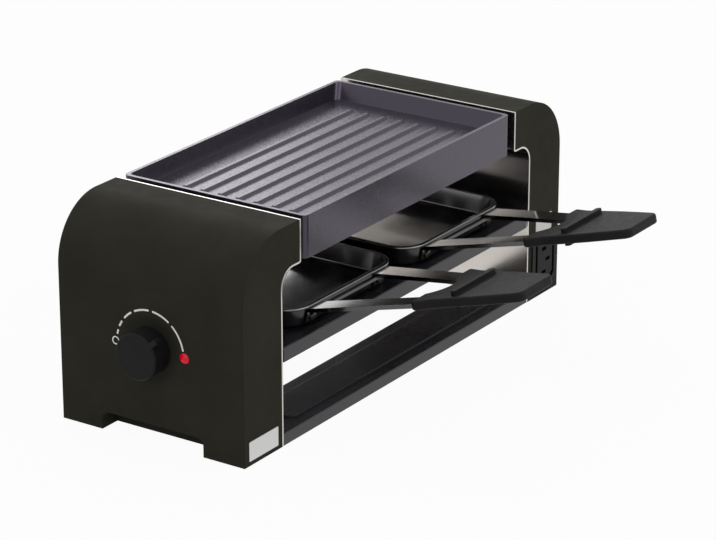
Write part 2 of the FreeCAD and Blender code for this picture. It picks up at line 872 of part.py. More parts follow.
def shelf_tray(label):
    """Folded shelf: a top sheet with four flanges turned down and open corners."""
    body = new_body(label)
    add(body, "block", "xy", shelf_bottom, s.shelf_top,
        [rectangle(-bay_low, bay_low, -shelf_side, shelf_side)])
    cut(body, "underside", "xy", shelf_bottom - PAST, shelf_under,
        [rectangle(s.shelf_sheet - bay_low, bay_low - s.shelf_sheet,
                   s.shelf_sheet - shelf_side, shelf_side - s.shelf_sheet)])
    corners = [rectangle(*ordered(end * (bay_low - s.corner_relief), end * (bay_low + PAST)),
                         *ordered(side * (shelf_side - s.corner_relief), side * (shelf_side + PAST)))
               for end in (NEAR, FAR) for side in (FRONT, REAR)]
    cut(body, "corner_reliefs", "xy", shelf_bottom - PAST, shelf_under, corners)
    holes = [Disc(*place, hole_radius) for place in shelf_screw_places]
    cut(body, "screw_holes", "yz", -bay_low - PAST, bay_low + PAST, holes)
    round_edges(body, "folds", s.shelf_sheet * 0.8,
                lambda edge: long_edge_at(edge, shelf_side.value, s.shelf_top.value))
    return body


def long_edge_at(edge, side, level):
    """True for an edge along X on either side face at this level."""
    box = edge.BoundBox
    flat = box.YLength < 0.01 and box.ZLength < 0.01
    return flat and abs(abs(box.YMin) - side) < 0.01 and abs(box.ZMin - level) < 0.01


def base_rail(side, label):
    """Folded base rail with a raised field pressed into its top."""
    body = new_body(label)
    far_y, near_y = side * shelf_side, side * rail_inner
    add(body, "block", "xy", s.foot_height, s.rail_top,
        [rectangle(-bay_low, bay_low, *ordered(near_y, far_y))])
    inset, wall = s.emboss_inset_side, s.rail_sheet
    field = (side * (rail_inner + inset), side * (shelf_side - inset))
    reach = bay_low - s.emboss_inset_end
    add(body, "raised_field", "xy", s.rail_top - wall / 2, s.rail_top + s.emboss_height,
        [rounded(-reach, reach, *ordered(*field), s.emboss_corner)])
    cut(body, "underside", "xy", s.foot_height - PAST, s.rail_top - wall,
        [rectangle(wall - bay_low, bay_low - wall,
                   *ordered(side * (rail_inner + wall), side * (shelf_side - wall)))])
    inner_field = (side * (rail_inner + inset + wall), side * (shelf_side - inset - wall))
    cut(body, "pressed_side", "xy", s.rail_top - wall - PAST, s.rail_top + s.emboss_height - wall,
        [rounded(wall - reach, reach - wall, *ordered(*inner_field), s.emboss_corner - wall)])
    holes = [Disc(place, rail_screw_level, hole_radius) for place in rail_screw_places()
             if place.value * side > 0]
    if side == REAR:
        holes.append(Disc(lead_offset, s.lead_level, s.lead_diameter / 2 + s.fit_gap))
    cut(body, "end_holes", "yz", -bay_low - PAST, bay_low + PAST, holes)
    round_edges(body, "folds", s.rail_sheet * 0.8,
                lambda edge: long_edge_at(edge, shelf_side.value, s.rail_top.value))
    return body


def frame_fasteners():
    """Screws that hold the shelf, the rails and the bottom covers, and the rubber feet."""
    shelf, rails, covers, feet = [], [], [], []
    for end, tag in ENDS:
        flange_face = end * (bay_low - s.shelf_sheet)
        for number, (side, which) in enumerate(((FRONT, "front"), (REAR, "rear"))):
            name = "%s_%s" % (tag, which)
            shelf.append(screw("shelf_screw_" + name, "x", flange_face, end * (hidden_face + s.screw_reach),
                               shelf_screw_places[number], s.head_height))
            covers.append(screw("cover_screw_" + name, "z", s.foot_height, s.recess_height - s.shell_wall,
                                (end * (end_face - s.cover_screw_inset), cover_screw_places[number]),
                                s.cover_head_height))
            feet.append(rubber_foot(name, (end * (end_face - s.foot_inset_end),
                                           side * (side_face - s.foot_inset_side))))
        for number, place in enumerate(rail_screw_places()):
            rails.append(screw("rail_screw_%s_%d" % (tag, number), "x", end * (bay_low - s.rail_sheet),
                               end * (hidden_face + s.rail_screw_reach), (place, rail_screw_level),
                               s.head_height))
    group("shelf_screws", shelf)
    group("rail_screws", rails)
    group("bottom_cover_screws", covers)
    group("rubber_feet", feet)


def rubber_foot(name, centre):
    """A push-in foot: pad below the cover, stem through it, head above it."""
    pad = rod("foot_pad_" + name, s.foot_diameter / 2, "z", 0, s.foot_height, centre)
    head_top = cover_top + s.foot_head_height
    stem = rod("foot_stem_" + name, s.foot_stem / 2, "z", s.foot_height / 2, head_top, centre)
    head = rod("foot_head_" + name, s.foot_head / 2, "z", cover_top, head_top, centre)
    return joined("foot_" + name, [pad, stem, head])


# Grill plate and its rests

def grill_plate(label):
    """Cast plate: tray with raised rim and ribs on top, hollow skirt below."""
    body = new_body(label)
    half, wide, r = plate_half, plate_wide, s.plate_corner
    bottom = overhang_level + s.plate_seat_gap
    add(body, "block", "xy", bottom, top_face, [rounded(-half, half, -wide, wide, r)])
    rim, floor_half, floor_wide = s.plate_rim, half - s.tray_end_slope, wide - s.tray_side_slope
    loft(body, "Subtractive", "tray", "xy",
         (tray_floor, rounded(-floor_half, floor_half, -floor_wide, floor_wide, r)),
         (top_face, rounded(rim - half, half - rim, rim - wide, wide - rim, r)))
    skirt = s.plate_skirt
    cut(body, "underside", "xy", bottom - PAST, tray_floor - s.plate_floor_thickness,
        [rounded(skirt - half, half - skirt, skirt - wide, wide - skirt, r)])
    end_radius = s.rib_width / 2
    reach = floor_half - s.rib_end_gap
    first = s.rib_pitch * (s.rib_count - 1) / -2
    straight = reach - end_radius
    stadium = [(-straight, first - end_radius), (straight, first - end_radius, straight, first, 1),
               (straight, first + end_radius), (-straight, first + end_radius, -straight, first, 1)]
    rib = body.newObject("PartDesign::Pad", "rib")
    rib.Profile = new_sketch(body, "rib", "xy", tray_floor, [stadium])
    bind(rib, "Length", s.rib_height)
    bind(rib, "TaperAngle", -s.rib_slope)
    repeat(body, "ribs", rib, "Y_Axis", s.rib_pitch * (s.rib_count - 1), s.rib_count)
    return body


def plate_rest(end, label):
    """Strip under an overhang that carries the plate's skirt, with upturned locating tabs."""
    body = new_body(label)
    wide, low = side_face - s.rest_side_gap, rest_level - s.rest_sheet
    outer = bend_centre[0]
    add(body, "strip", "xy", low, rest_level,
        [rectangle(*ordered(end * rest_inner, end * outer), -wide, wide)])
    tab_face = skirt_inside - s.locator_gap
    reach = ordered(end * (tab_face - s.rest_sheet), end * tab_face)
    tabs = [rectangle(*reach, *ordered(side * (wide - s.locator_width), side * wide))
            for side in (FRONT, REAR)]
    add(body, "locators", "xy", low, rest_level + s.locator_height, tabs)
    if end == NEAR:
        notches = [rectangle(*ordered(end * (rest_inner - PAST), end * (rest_inner + s.notch_depth)),
                             side * outer_leg - s.notch_width / 2, side * outer_leg + s.notch_width / 2)
                   for side in (FRONT, REAR)]
        cut(body, "element_notches", "xy", low - PAST, rest_level + PAST, notches)
    else:
        tongues = [rectangle(rest_inner - tongue_reach, rest_inner + PAST,
                             side * s.element_pitch - s.clip_tongue / 2,
                             side * s.element_pitch + s.clip_tongue / 2) for side in (FRONT, REAR)]
        add(body, "clip_tongues", "xy", low, rest_level, tongues)
        cut(body, "clip_rivet_holes", "xy", low - PAST, rest_level + PAST,
            [Disc(clip_rivet_x, side * s.element_pitch, rivet_radius) for side in (FRONT, REAR)])
    cut(body, "rivet_holes", "xy", low - PAST, rest_level + PAST,
        [Disc(end * rest_rivet_x, place, rivet_radius) for place in rest_rivet_places()])
    return body


def rest_rivets():
    items = []
    for end, tag in ENDS:
        for number, place in enumerate(rest_rivet_places()):
            items.append(rivet("rest_rivet_%s_%d" % (tag, number), "z", rest_level - s.rest_sheet,
                               overhang_level + s.panel_sheet, (end * rest_rivet_x, place)))
    group("plate_rest_rivets", items)


# Heating element

def heating_element(label):
    """One bent tube: four legs under the plate, three hairpins, two cold ends."""
    reach, turn, level, cold = element_reach, rest_inner - s.cold_inset, element_level, cold_level
    first, second, third, fourth = element_legs
    points = [(-cold_end, first, cold), (-turn, first, cold), (-turn, first, level),
              (reach, first, level), (reach, second, level), (-reach, second, level),
              (-reach, third, level), (reach, third, level), (reach, fourth, level),
              (-turn, fourth, level), (-turn, fourth, cold), (-cold_end, fourth, cold)]
    drop, hairpin = (level - cold) / 2, s.element_pitch / 2
    bends = [drop, drop] + [hairpin] * 6 + [drop, drop]
    return tube(label, s.element_diameter / 2, points, bends)


def element_flange(side, name):
    """Oval flange on a cold end, riveted to the panel through two holes."""
    leg = side * outer_leg
    low = s.flange_sheet - bay_low
    half, tall = s.flange_length / 2, s.flange_height / 2
    plate = brick(name + "_plate", (-bay_low, low), (leg - half + tall, leg + half - tall),
                  (cold_level - tall, cold_level + tall))
    ends = [rod("%s_end_%d" % (name, number), tall, "x", -bay_low, low,
                (leg + step * (half - tall), cold_level)) for number, step in enumerate((-1, 1))]
    solid = joined(name + "_solid", [plate] + ends)
    holes = [rod("%s_hole_%d" % (name, number), rivet_radius, "x", -bay_low - PAST, low + PAST,
                 (leg + step * s.flange_rivet_pitch, cold_level)) for number, step in enumerate((-0.5, 0.5))]
    bore = rod(name + "_bore", s.element_diameter / 2, "x", -bay_low - PAST, low + PAST, (leg, cold_level))
    return without(name, solid, joined(name + "_holes", holes + [bore]))


def element_mounts():
    """Flanges, their rivets, hold-down clips, clip rivets and insulated terminals."""
    flanges, flange_rivets, clips, clip_rivets, terminals = [], [], [], [], []
    for side, which in ((FRONT, "front"), (REAR, "rear")):
        leg = side * outer_leg
        flanges.append(element_flange(side, "flange_" + which))
        for number, step in enumerate((-0.5, 0.5)):
            flange_rivets.append(rivet("flange_rivet_%s_%d" % (which, number), "x", -hidden_face,
                                       s.flange_sheet - bay_low,
                                       (leg + step * s.flange_rivet_pitch, cold_level)))
        clips.append(element_clip(side, "clip_" + which))
        clip_rivets.append(rivet("clip_rivet_" + which, "z", rest_level - s.rest_sheet,
                                 rest_level + s.clip_sheet, (clip_rivet_x, side * s.element_pitch)))
        bead = rod("bead_" + which, s.element_diameter / 2, "x", -cold_end - s.terminal_length / 3,
                   -cold_end, (leg, cold_level))
        stud = rod("stud_" + which, s.screw_diameter / 2, "x", -cold_end - s.terminal_length,
                   -cold_end - s.terminal_length / 3, (leg, cold_level))
        terminals += [bead, stud]
    group("element_flanges", flanges)
    group("flange_rivets", flange_rivets)
    group("element_clips", clips)
    group("clip_rivets", clip_rivets)
    group("element_terminals", terminals)


def element_clip(side, name):
    """A strap round a hairpin with a foot riveted to the far plate rest."""
    place = side * s.element_pitch
    low, high = place - s.clip_width / 2, place + s.clip_width / 2
    centre = (element_reach, rest_level + clip_outer)
    ring = without(name + "_ring", rod(name + "_outer", clip_outer, "y", low, high, centre),
                   rod(name + "_inner", clip_inner, "y", low - PAST, high + PAST, centre))
    foot = brick(name + "_foot", (centre[0] - clip_outer - clip_foot, centre[0] - clip_inner / 2),
                 (low, high), (rest_level, rest_level + s.clip_sheet))
    trimmed = without(name + "_trimmed", foot,
                      rod(name + "_round", clip_inner, "y", low - PAST, high + PAST, centre))
    hole = rod(name + "_hole", rivet_radius, "z", rest_level - PAST, rest_level + s.clip_sheet + PAST,
               (clip_rivet_x, place))
    return without(name, joined(name + "_strap", [ring, trimmed]), hole)


# Knob, heat regulator and pilot lamp. Their own X axis lies on the knob's axis with zero
# on the end face, so outward is -X.

knob_place = (-end_face, as_length(0), s.knob_level)
knob_turn = (FreeCAD.Vector(1, 0, 0), 90 - s.pointer_angle)


def flatted(radius, level):
    """A round shaft section with a flat at this level."""
    half = root(radius * radius - level * level)
    zero = as_length(0)
    return [(-half, level), (half, level, zero, zero, -1), (zero, -radius, zero, zero, -1)]


def control_knob(label):
    """Round cap with a hub bored for the flatted shaft and a pointer tab on its rim."""
    body = new_body(label, knob_place, knob_turn)
    rim, face, edge = s.knob_diameter / 2, s.knob_reach, s.knob_edge
    hollow, floor = rim - s.knob_wall, s.knob_reach - s.knob_face
    hub, hub_back = s.knob_hub / 2, s.nut_height + s.hub_gap
    zero = as_length(0)
    outline = [(-hub_back, zero), (-hub_back, hub), (-floor, hub), (-floor, hollow),
               (-s.knob_gap, hollow), (-s.knob_gap, rim), (edge - face, rim), (-face, rim - edge),
               (-face, zero)]
    revolve(body, "cap", outline)
    half = s.pointer_width / 2
    add(body, "pointer", "xy", rim - s.knob_wall / 2, rim + s.pointer_reach,
        [rectangle(-face, s.pointer_depth - face, -half, half)])
    radius = s.shaft_diameter / 2 + s.fit_gap
    level = s.shaft_diameter / 2 - s.shaft_flat + s.fit_gap
    cut(body, "shaft_bore", "yz", -floor - s.knob_face / 4, -hub_back + PAST, [flatted(radius, level)])
    round_edges(body, "pointer_corners", s.pointer_width * 0.3, pointer_corner)
    return body


def pointer_corner(edge):
    """The two outer edges of the pointer tab that run along the knob's axis."""
    places = [vertex.Point for vertex in edge.Vertexes]
    if len(places) != 2 or abs(places[0].x - places[1].x) < s.pointer_depth.value / 2:
        return False
    tip = s.knob_diameter.value / 2 + s.pointer_reach.value
    return min(place.z for place in places) > tip - s.pointer_reach.value / 4


def regulator_shaft(label):
    body = new_body(label, knob_place, knob_turn)
    radius = s.shaft_diameter / 2
    zero = as_length(0)
    tip = s.knob_reach - s.knob_face + s.hub_gap
    add(body, "shaft", "yz", -s.nut_height - s.hub_gap, s.shell_wall + s.shaft_reach,
        [Disc(zero, zero, radius)])
    add(body, "flatted_end", "yz", -tip, -s.nut_height, [flatted(radius, radius - s.shaft_flat)])
    return body


def regulator_body(label):
    """Rotary heat regulator behind the end wall, with a threaded bush and two tabs."""
    body = new_body(label, knob_place)
    half = s.regulator_width / 2
    zero = as_length(0)
    add(body, "case", "yz", s.shell_wall, regulator_back,
        [rounded(-half, half, -half, half, s.regulator_corner)])
    bush_end = s.dish_depth - s.nut_height - s.bush_past_nut
    add(body, "bush", "yz", bush_end, s.shell_wall + PAST, [Disc(zero, zero, s.bush_diameter / 2)])
    cut(body, "shaft_bore", "yz", bush_end - PAST, s.shell_wall + s.shaft_reach + PAST,
        [Disc(zero, zero, s.shaft_diameter / 2 + s.shaft_gap)])
    tabs = [rectangle(-s.tab_width / 2, s.tab_width / 2, side * s.tab_pitch / 2 - s.tab_sheet / 2,
                      side * s.tab_pitch / 2 + s.tab_sheet / 2) for side in (-1, 1)]
    add(body, "tabs", "yz", regulator_back - PAST, regulator_back + s.tab_length, tabs)
    return body


def regulator_nut(label):
    body = new_body(label, knob_place)
    across = s.nut_across / 2 / cosine(30)
    corners = [(across * cosine(60 * step), across * sine(60 * step)) for step in range(6)]
    zero = as_length(0)
    add(body, "hexagon", "yz", s.dish_depth - s.nut_height, s.dish_depth,
        [corners, Disc(zero, zero, s.bush_diameter / 2)])
    return body


def pilot_lamp():
    """Red lens with a domed tip in the end wall, and its holder behind."""
    place = (-end_face, -s.lamp_offset, s.knob_level)
    lens = new_body("pilot_lamp_lens", place)
    zero, radius = as_length(0), s.lamp_diameter / 2
    tip = s.lamp_dome
    ball = (radius * radius + tip * tip) / (2 * tip)
    revolve(lens, "lens", [(-tip, zero, ball - tip, zero, -1), (zero, radius),
                           (s.shell_wall, radius), (s.shell_wall, zero)])
    holder = new_body("pilot_lamp_holder", place)
    collar, barrel = s.lamp_collar / 2, s.lamp_barrel / 2
    step = s.shell_wall + s.lamp_collar_height
    revolve(holder, "holder", [(s.shell_wall, zero), (s.shell_wall, collar), (step, collar),
                               (step, barrel), (s.shell_wall + s.lamp_length, barrel),
                               (s.shell_wall + s.lamp_length, zero)])


# Sockets in the far housing

def bevelled(u0, u1, v0, v1, bevel):
    """A rectangle with its two +X corners cut off."""
    return [(u0, v0), (u1 - bevel, v0), (u1, v0 + bevel), (u1, v1 - bevel), (u1 - bevel, v1), (u0, v1)]


def around(centre, width, height):
    return (centre[0] - width / 2, centre[0] + width / 2, centre[1] - height / 2, centre[1] + height / 2)


def contact_places():
    """Live and neutral stand above each other, earth is offset outward between them."""
    u = socket_centre - s.slot_shift
    return [(u, s.socket_level - s.pin_pitch / 2), (u + s.earth_offset, s.socket_level),
            (u, s.socket_level + s.pin_pitch / 2)]


def socket_case(body, side):
    """Flange on the side face and a moulded block behind it."""
    centre = (socket_centre, s.socket_level)
    proud = side_face + s.socket_flange_sheet
    add(body, "flange", "xz", *ordered(side * side_face, side * proud),
        [rounded(*around(centre, s.socket_flange_width, s.socket_flange_height), s.socket_flange_corner)])
    add(body, "block", "xz", *ordered(side * (side_face - s.socket_body_depth), side * side_face),
        [rectangle(*around(centre, s.socket_body_width, s.socket_body_height))])
    return centre, proud


def link_outlet(label):
    """Outlet with a tongue that holds three slots, a groove round it for the plug's shroud."""
    body = new_body(label)
    centre, proud = socket_case(body, FRONT)
    floor = proud - s.socket_opening_depth
    cut(body, "groove", "xz", -proud - PAST, -floor,
        [bevelled(*around(centre, s.socket_opening_width, s.socket_opening_height), s.socket_bevel),
         bevelled(*around(centre, s.tongue_width, s.tongue_height), s.socket_bevel)])
    slots = [rectangle(*around(place, s.slot_length, s.slot_width)) for place in contact_places()]
    cut(body, "slots", "xz", -proud - PAST, s.slot_depth - proud, slots)
    return body


def power_inlet(label):
    """Inlet with an open cavity round three pins."""
    body = new_body(label)
    centre, proud = socket_case(body, REAR)
    cut(body, "cavity", "xz", proud - s.socket_opening_depth, proud + PAST,
        [bevelled(*around(centre, s.inlet_opening_width, s.inlet_opening_height), s.socket_bevel)])
    return body


def socket_metal():
    """Spring contacts at the bottom of the outlet's slots and the inlet's blade pins."""
    contacts, pins = [], []
    outlet_floor = side_face + s.socket_flange_sheet - s.slot_depth
    inlet_floor = side_face + s.socket_flange_sheet - s.socket_opening_depth
    for number, (u, v) in enumerate(contact_places()):
        wide, thin = s.slot_length / 2, s.slot_width / 2
        contacts.append(brick("contact_%d" % number, (u - wide, u + wide),
                              (-outlet_floor - s.contact_height, -outlet_floor), (v - thin, v + thin)))
        wide, thin = s.pin_width / 2, s.pin_sheet / 2
        pins.append(brick("pin_%d" % number, (u - wide, u + wide),
                          (inlet_floor, inlet_floor + s.pin_length), (v - thin, v + thin)))
    group("link_outlet_contacts", contacts)
    group("power_inlet_pins", pins)


# Inner electrics

def terminal_block(label):
    """Three-way block on the near panel with a screw well over each way."""
    body = new_body(label)
    top = s.block_level + s.block_height
    add(body, "block", "xy", s.block_level, top, [rectangle(*block_u, *block_v)])
    wells = [Disc(*place, s.well_diameter / 2) for place in well_places()]
    cut(body, "screw_wells", "xy", top - s.block_height / 2, top + PAST, wells)
    return body


def well_places():
    """The middle of each of the block's three ways."""
    middle = (block_u[0] + block_u[1]) / 2
    return [(middle, block_v[0] + s.block_width * share) for share in (1 / 6, 3 / 6, 5 / 6)]


def thermal_cutout(label):
    """Disc cut-out clamped to the near panel by its bracket."""
    body = new_body(label)
    centre = cutout_centre
    half = s.bracket_width / 2
    face = -hidden_face
    radius = s.cutout_diameter / 2
    sheet_end = face - s.tab_sheet
    add(body, "bracket", "yz", sheet_end, face,
        [rectangle(centre[0] - half, centre[0] + half, centre[1] - radius / 2, centre[1] + radius / 2)])
    add(body, "case", "yz", sheet_end - s.cutout_length, face, [Disc(*centre, radius)])
    back = sheet_end - s.cutout_length
    tabs = [rectangle(*around((centre[0] + side * radius / 2, centre[1]), s.tab_sheet, s.tab_width))
            for side in (-1, 1)]
    add(body, "tabs", "yz", back - s.tab_length, back + s.tab_sheet / 2, tabs)
    return body


def leads():
    """Supply lead through the rear base rail, and the wires at both ends."""
    inlet_back = side_face - s.socket_body_depth
    low, bend = s.lead_level, s.lead_bend
    near_x = -hidden_face - bend
    far_x = hidden_face + bend + s.lead_diameter / 2
    rise = low + 1.6 * bend
    tube("supply_lead", s.lead_diameter / 2,
         [(near_x, lead_offset, s.block_level), (near_x, lead_offset, low), (far_x, lead_offset, low),
          (far_x, lead_offset, rise), (far_x, inlet_back, rise)],
         [bend * 0.9, bend * 0.9, bend * 0.6])
    group("far_leads", [rod("link_wire_%d" % number, s.wire_diameter / 2, "y", -inlet_back, inlet_back, place)
                        for number, place in enumerate(contact_places())])
    near_leads()


def near_leads():
    """Wires from the block to the cut-out and the regulator, and on to the element's ends."""
    radius, bend = s.wire_diameter / 2, s.wire_bend
    tab_side = s.tab_width / 2
    upper, lower = s.knob_level + s.tab_pitch / 2, s.knob_level - s.tab_pitch / 2
    stud_x = -cold_end - s.terminal_length / 2
    wells = well_places()
    well_floor = s.block_level + s.block_height / 2
    tab_x = -hidden_face - s.tab_sheet - s.cutout_length - s.tab_length / 2
    tab_y = [cutout_centre[0] + side * s.cutout_diameter / 4 for side in (-1, 1)]
    tab_low, tab_high = cutout_centre[1] - tab_side, cutout_centre[1] + tab_side
    swing = s.block_level + s.block_height + 2 * bend
    wires = [
        tube("wire_regulator_front", radius,
             [(stud_x, -tab_side, upper), (stud_x, -outer_leg, upper),
              (stud_x, -outer_leg, cold_level - screw_radius)], [bend]),
        tube("wire_block_regulator", radius,
             [(*wells[0], well_floor), (*wells[0], lower), (wells[0][0], tab_side, lower)], [bend]),
        tube("wire_block_cutout", radius,
             [(*wells[1], well_floor), (*wells[1], swing),
              (tab_x, tab_y[1], tab_low - 1.4 * bend), (tab_x, tab_y[1], tab_low)], [bend * 0.8, bend * 0.8]),
        tube("wire_cutout_rear", radius,
             [(tab_x, tab_y[0], tab_high), (tab_x, tab_y[0], cold_level),
              (tab_x, outer_leg - screw_radius, cold_level)], [bend])]
    group("near_leads", wires)


# Pans. The frame and the grip are drawn from the arms' root at the front rim.

def pan_outline(inset):
    half = s.pan_length / 2 - inset
    return rounded(-half, half, inset - pan_front, s.pan_width - pan_front - inset, s.pan_corner - inset)


def pan_bowl(label, place):
    """Pressed pan with drafted walls, a rolled rim and round floor edges."""
    body = new_body(label, (place, as_length(0), as_length(0)))
    wall = s.rim_lip
    share = s.pan_sheet / s.pan_height
    loft(body, "Additive", "outside", "xy", (pan_bottom, pan_outline(wall + s.pan_draft)),
         (rim_top, pan_outline(wall)))
    add(body, "rim", "xy", rim_top - s.rim_height, rim_top, [pan_outline(as_length(0))])
    loft(body, "Subtractive", "inside", "xy",
         (pan_bottom + s.pan_sheet, pan_outline(wall + s.pan_sheet + s.pan_draft * (1 - share))),
         (rim_top, pan_outline(wall + s.pan_sheet)))
    level = rim_top - pan_rivet_depth
    cut(body, "rivet_holes", "xz", -pan_front - PAST, -pan_front + s.pan_draft + s.rim_lip + 4 * s.pan_sheet,
        [Disc(side * s.pan_rivet_place, level, rivet_radius + s.rivet_slack) for side in (-1, 1)])
    round_edges(body, "floor_bends", s.floor_bend, lambda edge: level_edge(edge, pan_bottom.value))
    round_edges(body, "inner_bends", s.floor_bend - s.pan_sheet,
                lambda edge: level_edge(edge, (pan_bottom + s.pan_sheet).value))
    round_edges(body, "rim_roll", s.rim_height * 0.45,
                lambda edge: rim_edge(edge, rim_top.value, s.rim_height.value))
    return body


def level_edge(edge, level):
    return abs(edge.BoundBox.ZMin - level) < 0.01 and abs(edge.BoundBox.ZMax - level) < 0.01


def rim_edge(edge, top, tall):
    """True for the outer edges of the rim, on its top and its underside."""
    inner = s.pan_length.value / 2 - s.rim_lip.value - 0.2
    if not (level_edge(edge, top) or level_edge(edge, top - tall)):
        return False
    middle = edge.valueAt((edge.FirstParameter + edge.LastParameter) / 2)
    front, back = -pan_front.value, s.pan_width.value - pan_front.value
    centre_y = (front + back) / 2
    reach_x, reach_y = inner, (back - front) / 2 - s.rim_lip.value - 0.2
    corner = s.pan_corner.value
    over_x, over_y = abs(middle.x) - (s.pan_length.value / 2 - corner), abs(middle.y - centre_y)
    over_y -= (back - front) / 2 - corner
    if over_x > 0.1 and over_y > 0.1:
        return math.hypot(over_x, over_y) > corner - s.rim_lip.value / 2
    return abs(middle.x) > reach_x or abs(middle.y - centre_y) > reach_y


def front_wall(level):
    """Where the bowl's front wall stands, from the root, at a level below the root."""
    return s.root_gap + s.rim_lip + (s.arm_drop - level) * s.pan_draft / s.pan_height


def pan_frame(label, place):
    """Two channel arms, the cross strip under their roots and two tabs on the front wall."""
    body = new_body(label, (place, root_y, root_z))
    slope = (s.arm_tilt, as_length(0), as_length(0))
    long, wall = s.arm_length, s.arm_sheet
    arms, channels = [], []
    for side in (-1, 1):
        arms.append([(side * s.arm_root_outer, 0), (side * s.arm_tip_outer, -long),
                     (side * s.arm_tip_inner, -long), (side * s.arm_root_inner, 0)])
        channels.append([(side * (s.arm_root_outer - wall), PAST / 2),
                         (side * (s.arm_tip_outer - wall), -long - PAST),
                         (side * (s.arm_tip_inner + wall), -long - PAST),
                         (side * (s.arm_root_inner + wall), PAST / 2)])
    add(body, "arms", "xy", -s.arm_depth, 0, arms, tilt=slope)
    cut(body, "channels", "xy", -s.arm_depth - PAST, -s.arm_sheet, channels, tilt=slope)
    add(body, "cross_strip", "xy", -s.arm_sheet - s.strip_sheet, -s.arm_sheet,
        [rounded(-s.strip_reach, s.strip_reach, -s.strip_width, as_length(0), s.strip_width * 0.45)],
        tilt=slope)
    high, low, bend = -s.arm_sheet - s.strip_sheet / 4, -s.tab_drop, -s.arm_sheet - s.strip_sheet
    gap = s.fit_gap / 2
    thick = s.strip_sheet
    tab = [(-thick, high), (front_wall(high) - gap, high), (front_wall(low) - gap, low),
           (front_wall(low) - gap - thick, low), (front_wall(bend) - gap - thick, bend), (-thick, bend)]
    for side, which in ((-1, "left"), (1, "right")):
        add(body, "tab_" + which, "yz", *ordered(side * s.tab_inner, side * s.tab_outer), [tab])
    cut(body, "rivet_holes", "xz", -PAST, s.pan_draft + s.rim_lip + 4 * s.pan_sheet,
        [Disc(side * s.pan_rivet_place, -s.pan_rivet_drop, rivet_radius + s.rivet_slack) for side in (-1, 1)])
    return body


def pan_rivets(label, place):
    """Two rivets square to the drafted front wall, through the tabs and the wall."""
    lean = arctangent(s.pan_draft / s.pan_height)
    items = []
    for number, side in enumerate((-1, 1)):
        items.append(rivet("%s_%d" % (label, number), "y", -s.strip_sheet - s.fit_gap,
                           s.pan_sheet + s.fit_gap, (side * s.pan_rivet_place, 0)))
    union = group(label, items)
    turn = FreeCAD.Rotation(FreeCAD.Vector(1, 0, 0), lean.value)
    union.Placement = FreeCAD.Placement(FreeCAD.Vector(), turn)
    bind(union, "Placement.Rotation.Angle", lean)
    bind(union, "Placement.Base.x", place)
    bind(union, "Placement.Base.y", root_y + front_wall(-s.pan_rivet_drop))
    bind(union, "Placement.Base.z", root_z - s.pan_rivet_drop)
    return union


def grip_half(side):
    """One side of the grip's outline, from the throat round to the end edge."""
    return [(side * s.prong_inner, -s.prong_place - s.prong_step),
            (side * (s.prong_inner + s.prong_step), -s.prong_place),
            (side * (s.prong_outer - s.prong_step / 2), -s.prong_place),
            (side * s.prong_outer, -s.prong_place - s.prong_step),
            (side * s.shoulder_half, -s.shoulder_place),
            (side * s.waist_half, -s.waist_place),
            (side * s.tail_half, -s.tail_place),
            (side * s.tail_end_half, -s.grip_length)]


def ridge(reach, place):
    half = s.ridge_width / 2
    return rounded(-reach, reach, -place - half, half - place, s.ridge_width * 0.4)


def pan_grip(label, place):
    """Moulded grip: forked front round the arms, a tapering paddle and a finger ridge."""
    body = new_body(label, (place, root_y, root_z))
    place_y = s.arm_length - s.grip_overlap
    plane = (s.grip_tilt, -place_y, place_y * sine(s.arm_tilt) / cosine(s.arm_tilt) + s.grip_lift)
    half = s.prong_inner
    rise = s.throat_place - s.prong_place - s.prong_step
    radius = (half * half + rise * rise) / (2 * rise)
    outline = grip_half(-1) + grip_half(1)[::-1]
    throat = outline[-1] + (as_length(0), radius - s.throat_place, -1)
    outline = outline[:-1] + [throat]
    add(body, "paddle", "xy", -s.grip_thickness, 0, [outline], tilt=plane)
    tail = s.tail_end_half.value
    round_edges(body, "tail_corners", s.tail_corner, lambda edge: upright_at(edge, tail))
    round_edges(body, "edges", s.grip_edge, lambda edge: not upright(edge))
    add(body, "ridge", "xy", -PAST, s.ridge_height, [ridge(s.ridge_reach, s.ridge_place)], tilt=plane)
    add(body, "lower_ridge", "xy", -s.grip_thickness - s.lower_ridge_height, PAST - s.grip_thickness,
        [ridge(s.lower_ridge_reach, s.lower_ridge_place)], tilt=plane)
    gap = s.fit_gap
    stop, entry = -s.arm_length - gap, -place_y
    slope = (s.arm_root_outer - s.arm_tip_outer) / s.arm_length
    sockets = []
    for side in (-1, 1):
        outer, inner = s.arm_tip_outer + gap, s.arm_tip_inner - gap
        run = stop - entry
        sockets.append([(side * (outer - run * slope), entry), (side * outer, stop),
                        (side * inner, stop), (side * (inner - run * slope), entry)])
    cut(body, "arm_sockets", "xy", -s.arm_depth - gap, gap, sockets,
        tilt=(s.arm_tilt, as_length(0), as_length(0)))
    return body


def upright(edge):
    """True for an edge that runs through the grip's thickness."""
    return abs(edge.Length - s.grip_thickness.value) < 0.01 and edge.BoundBox.XLength < 0.01


def upright_at(edge, half):
    return upright(edge) and abs(abs(edge.BoundBox.XMin) - half) < 0.01


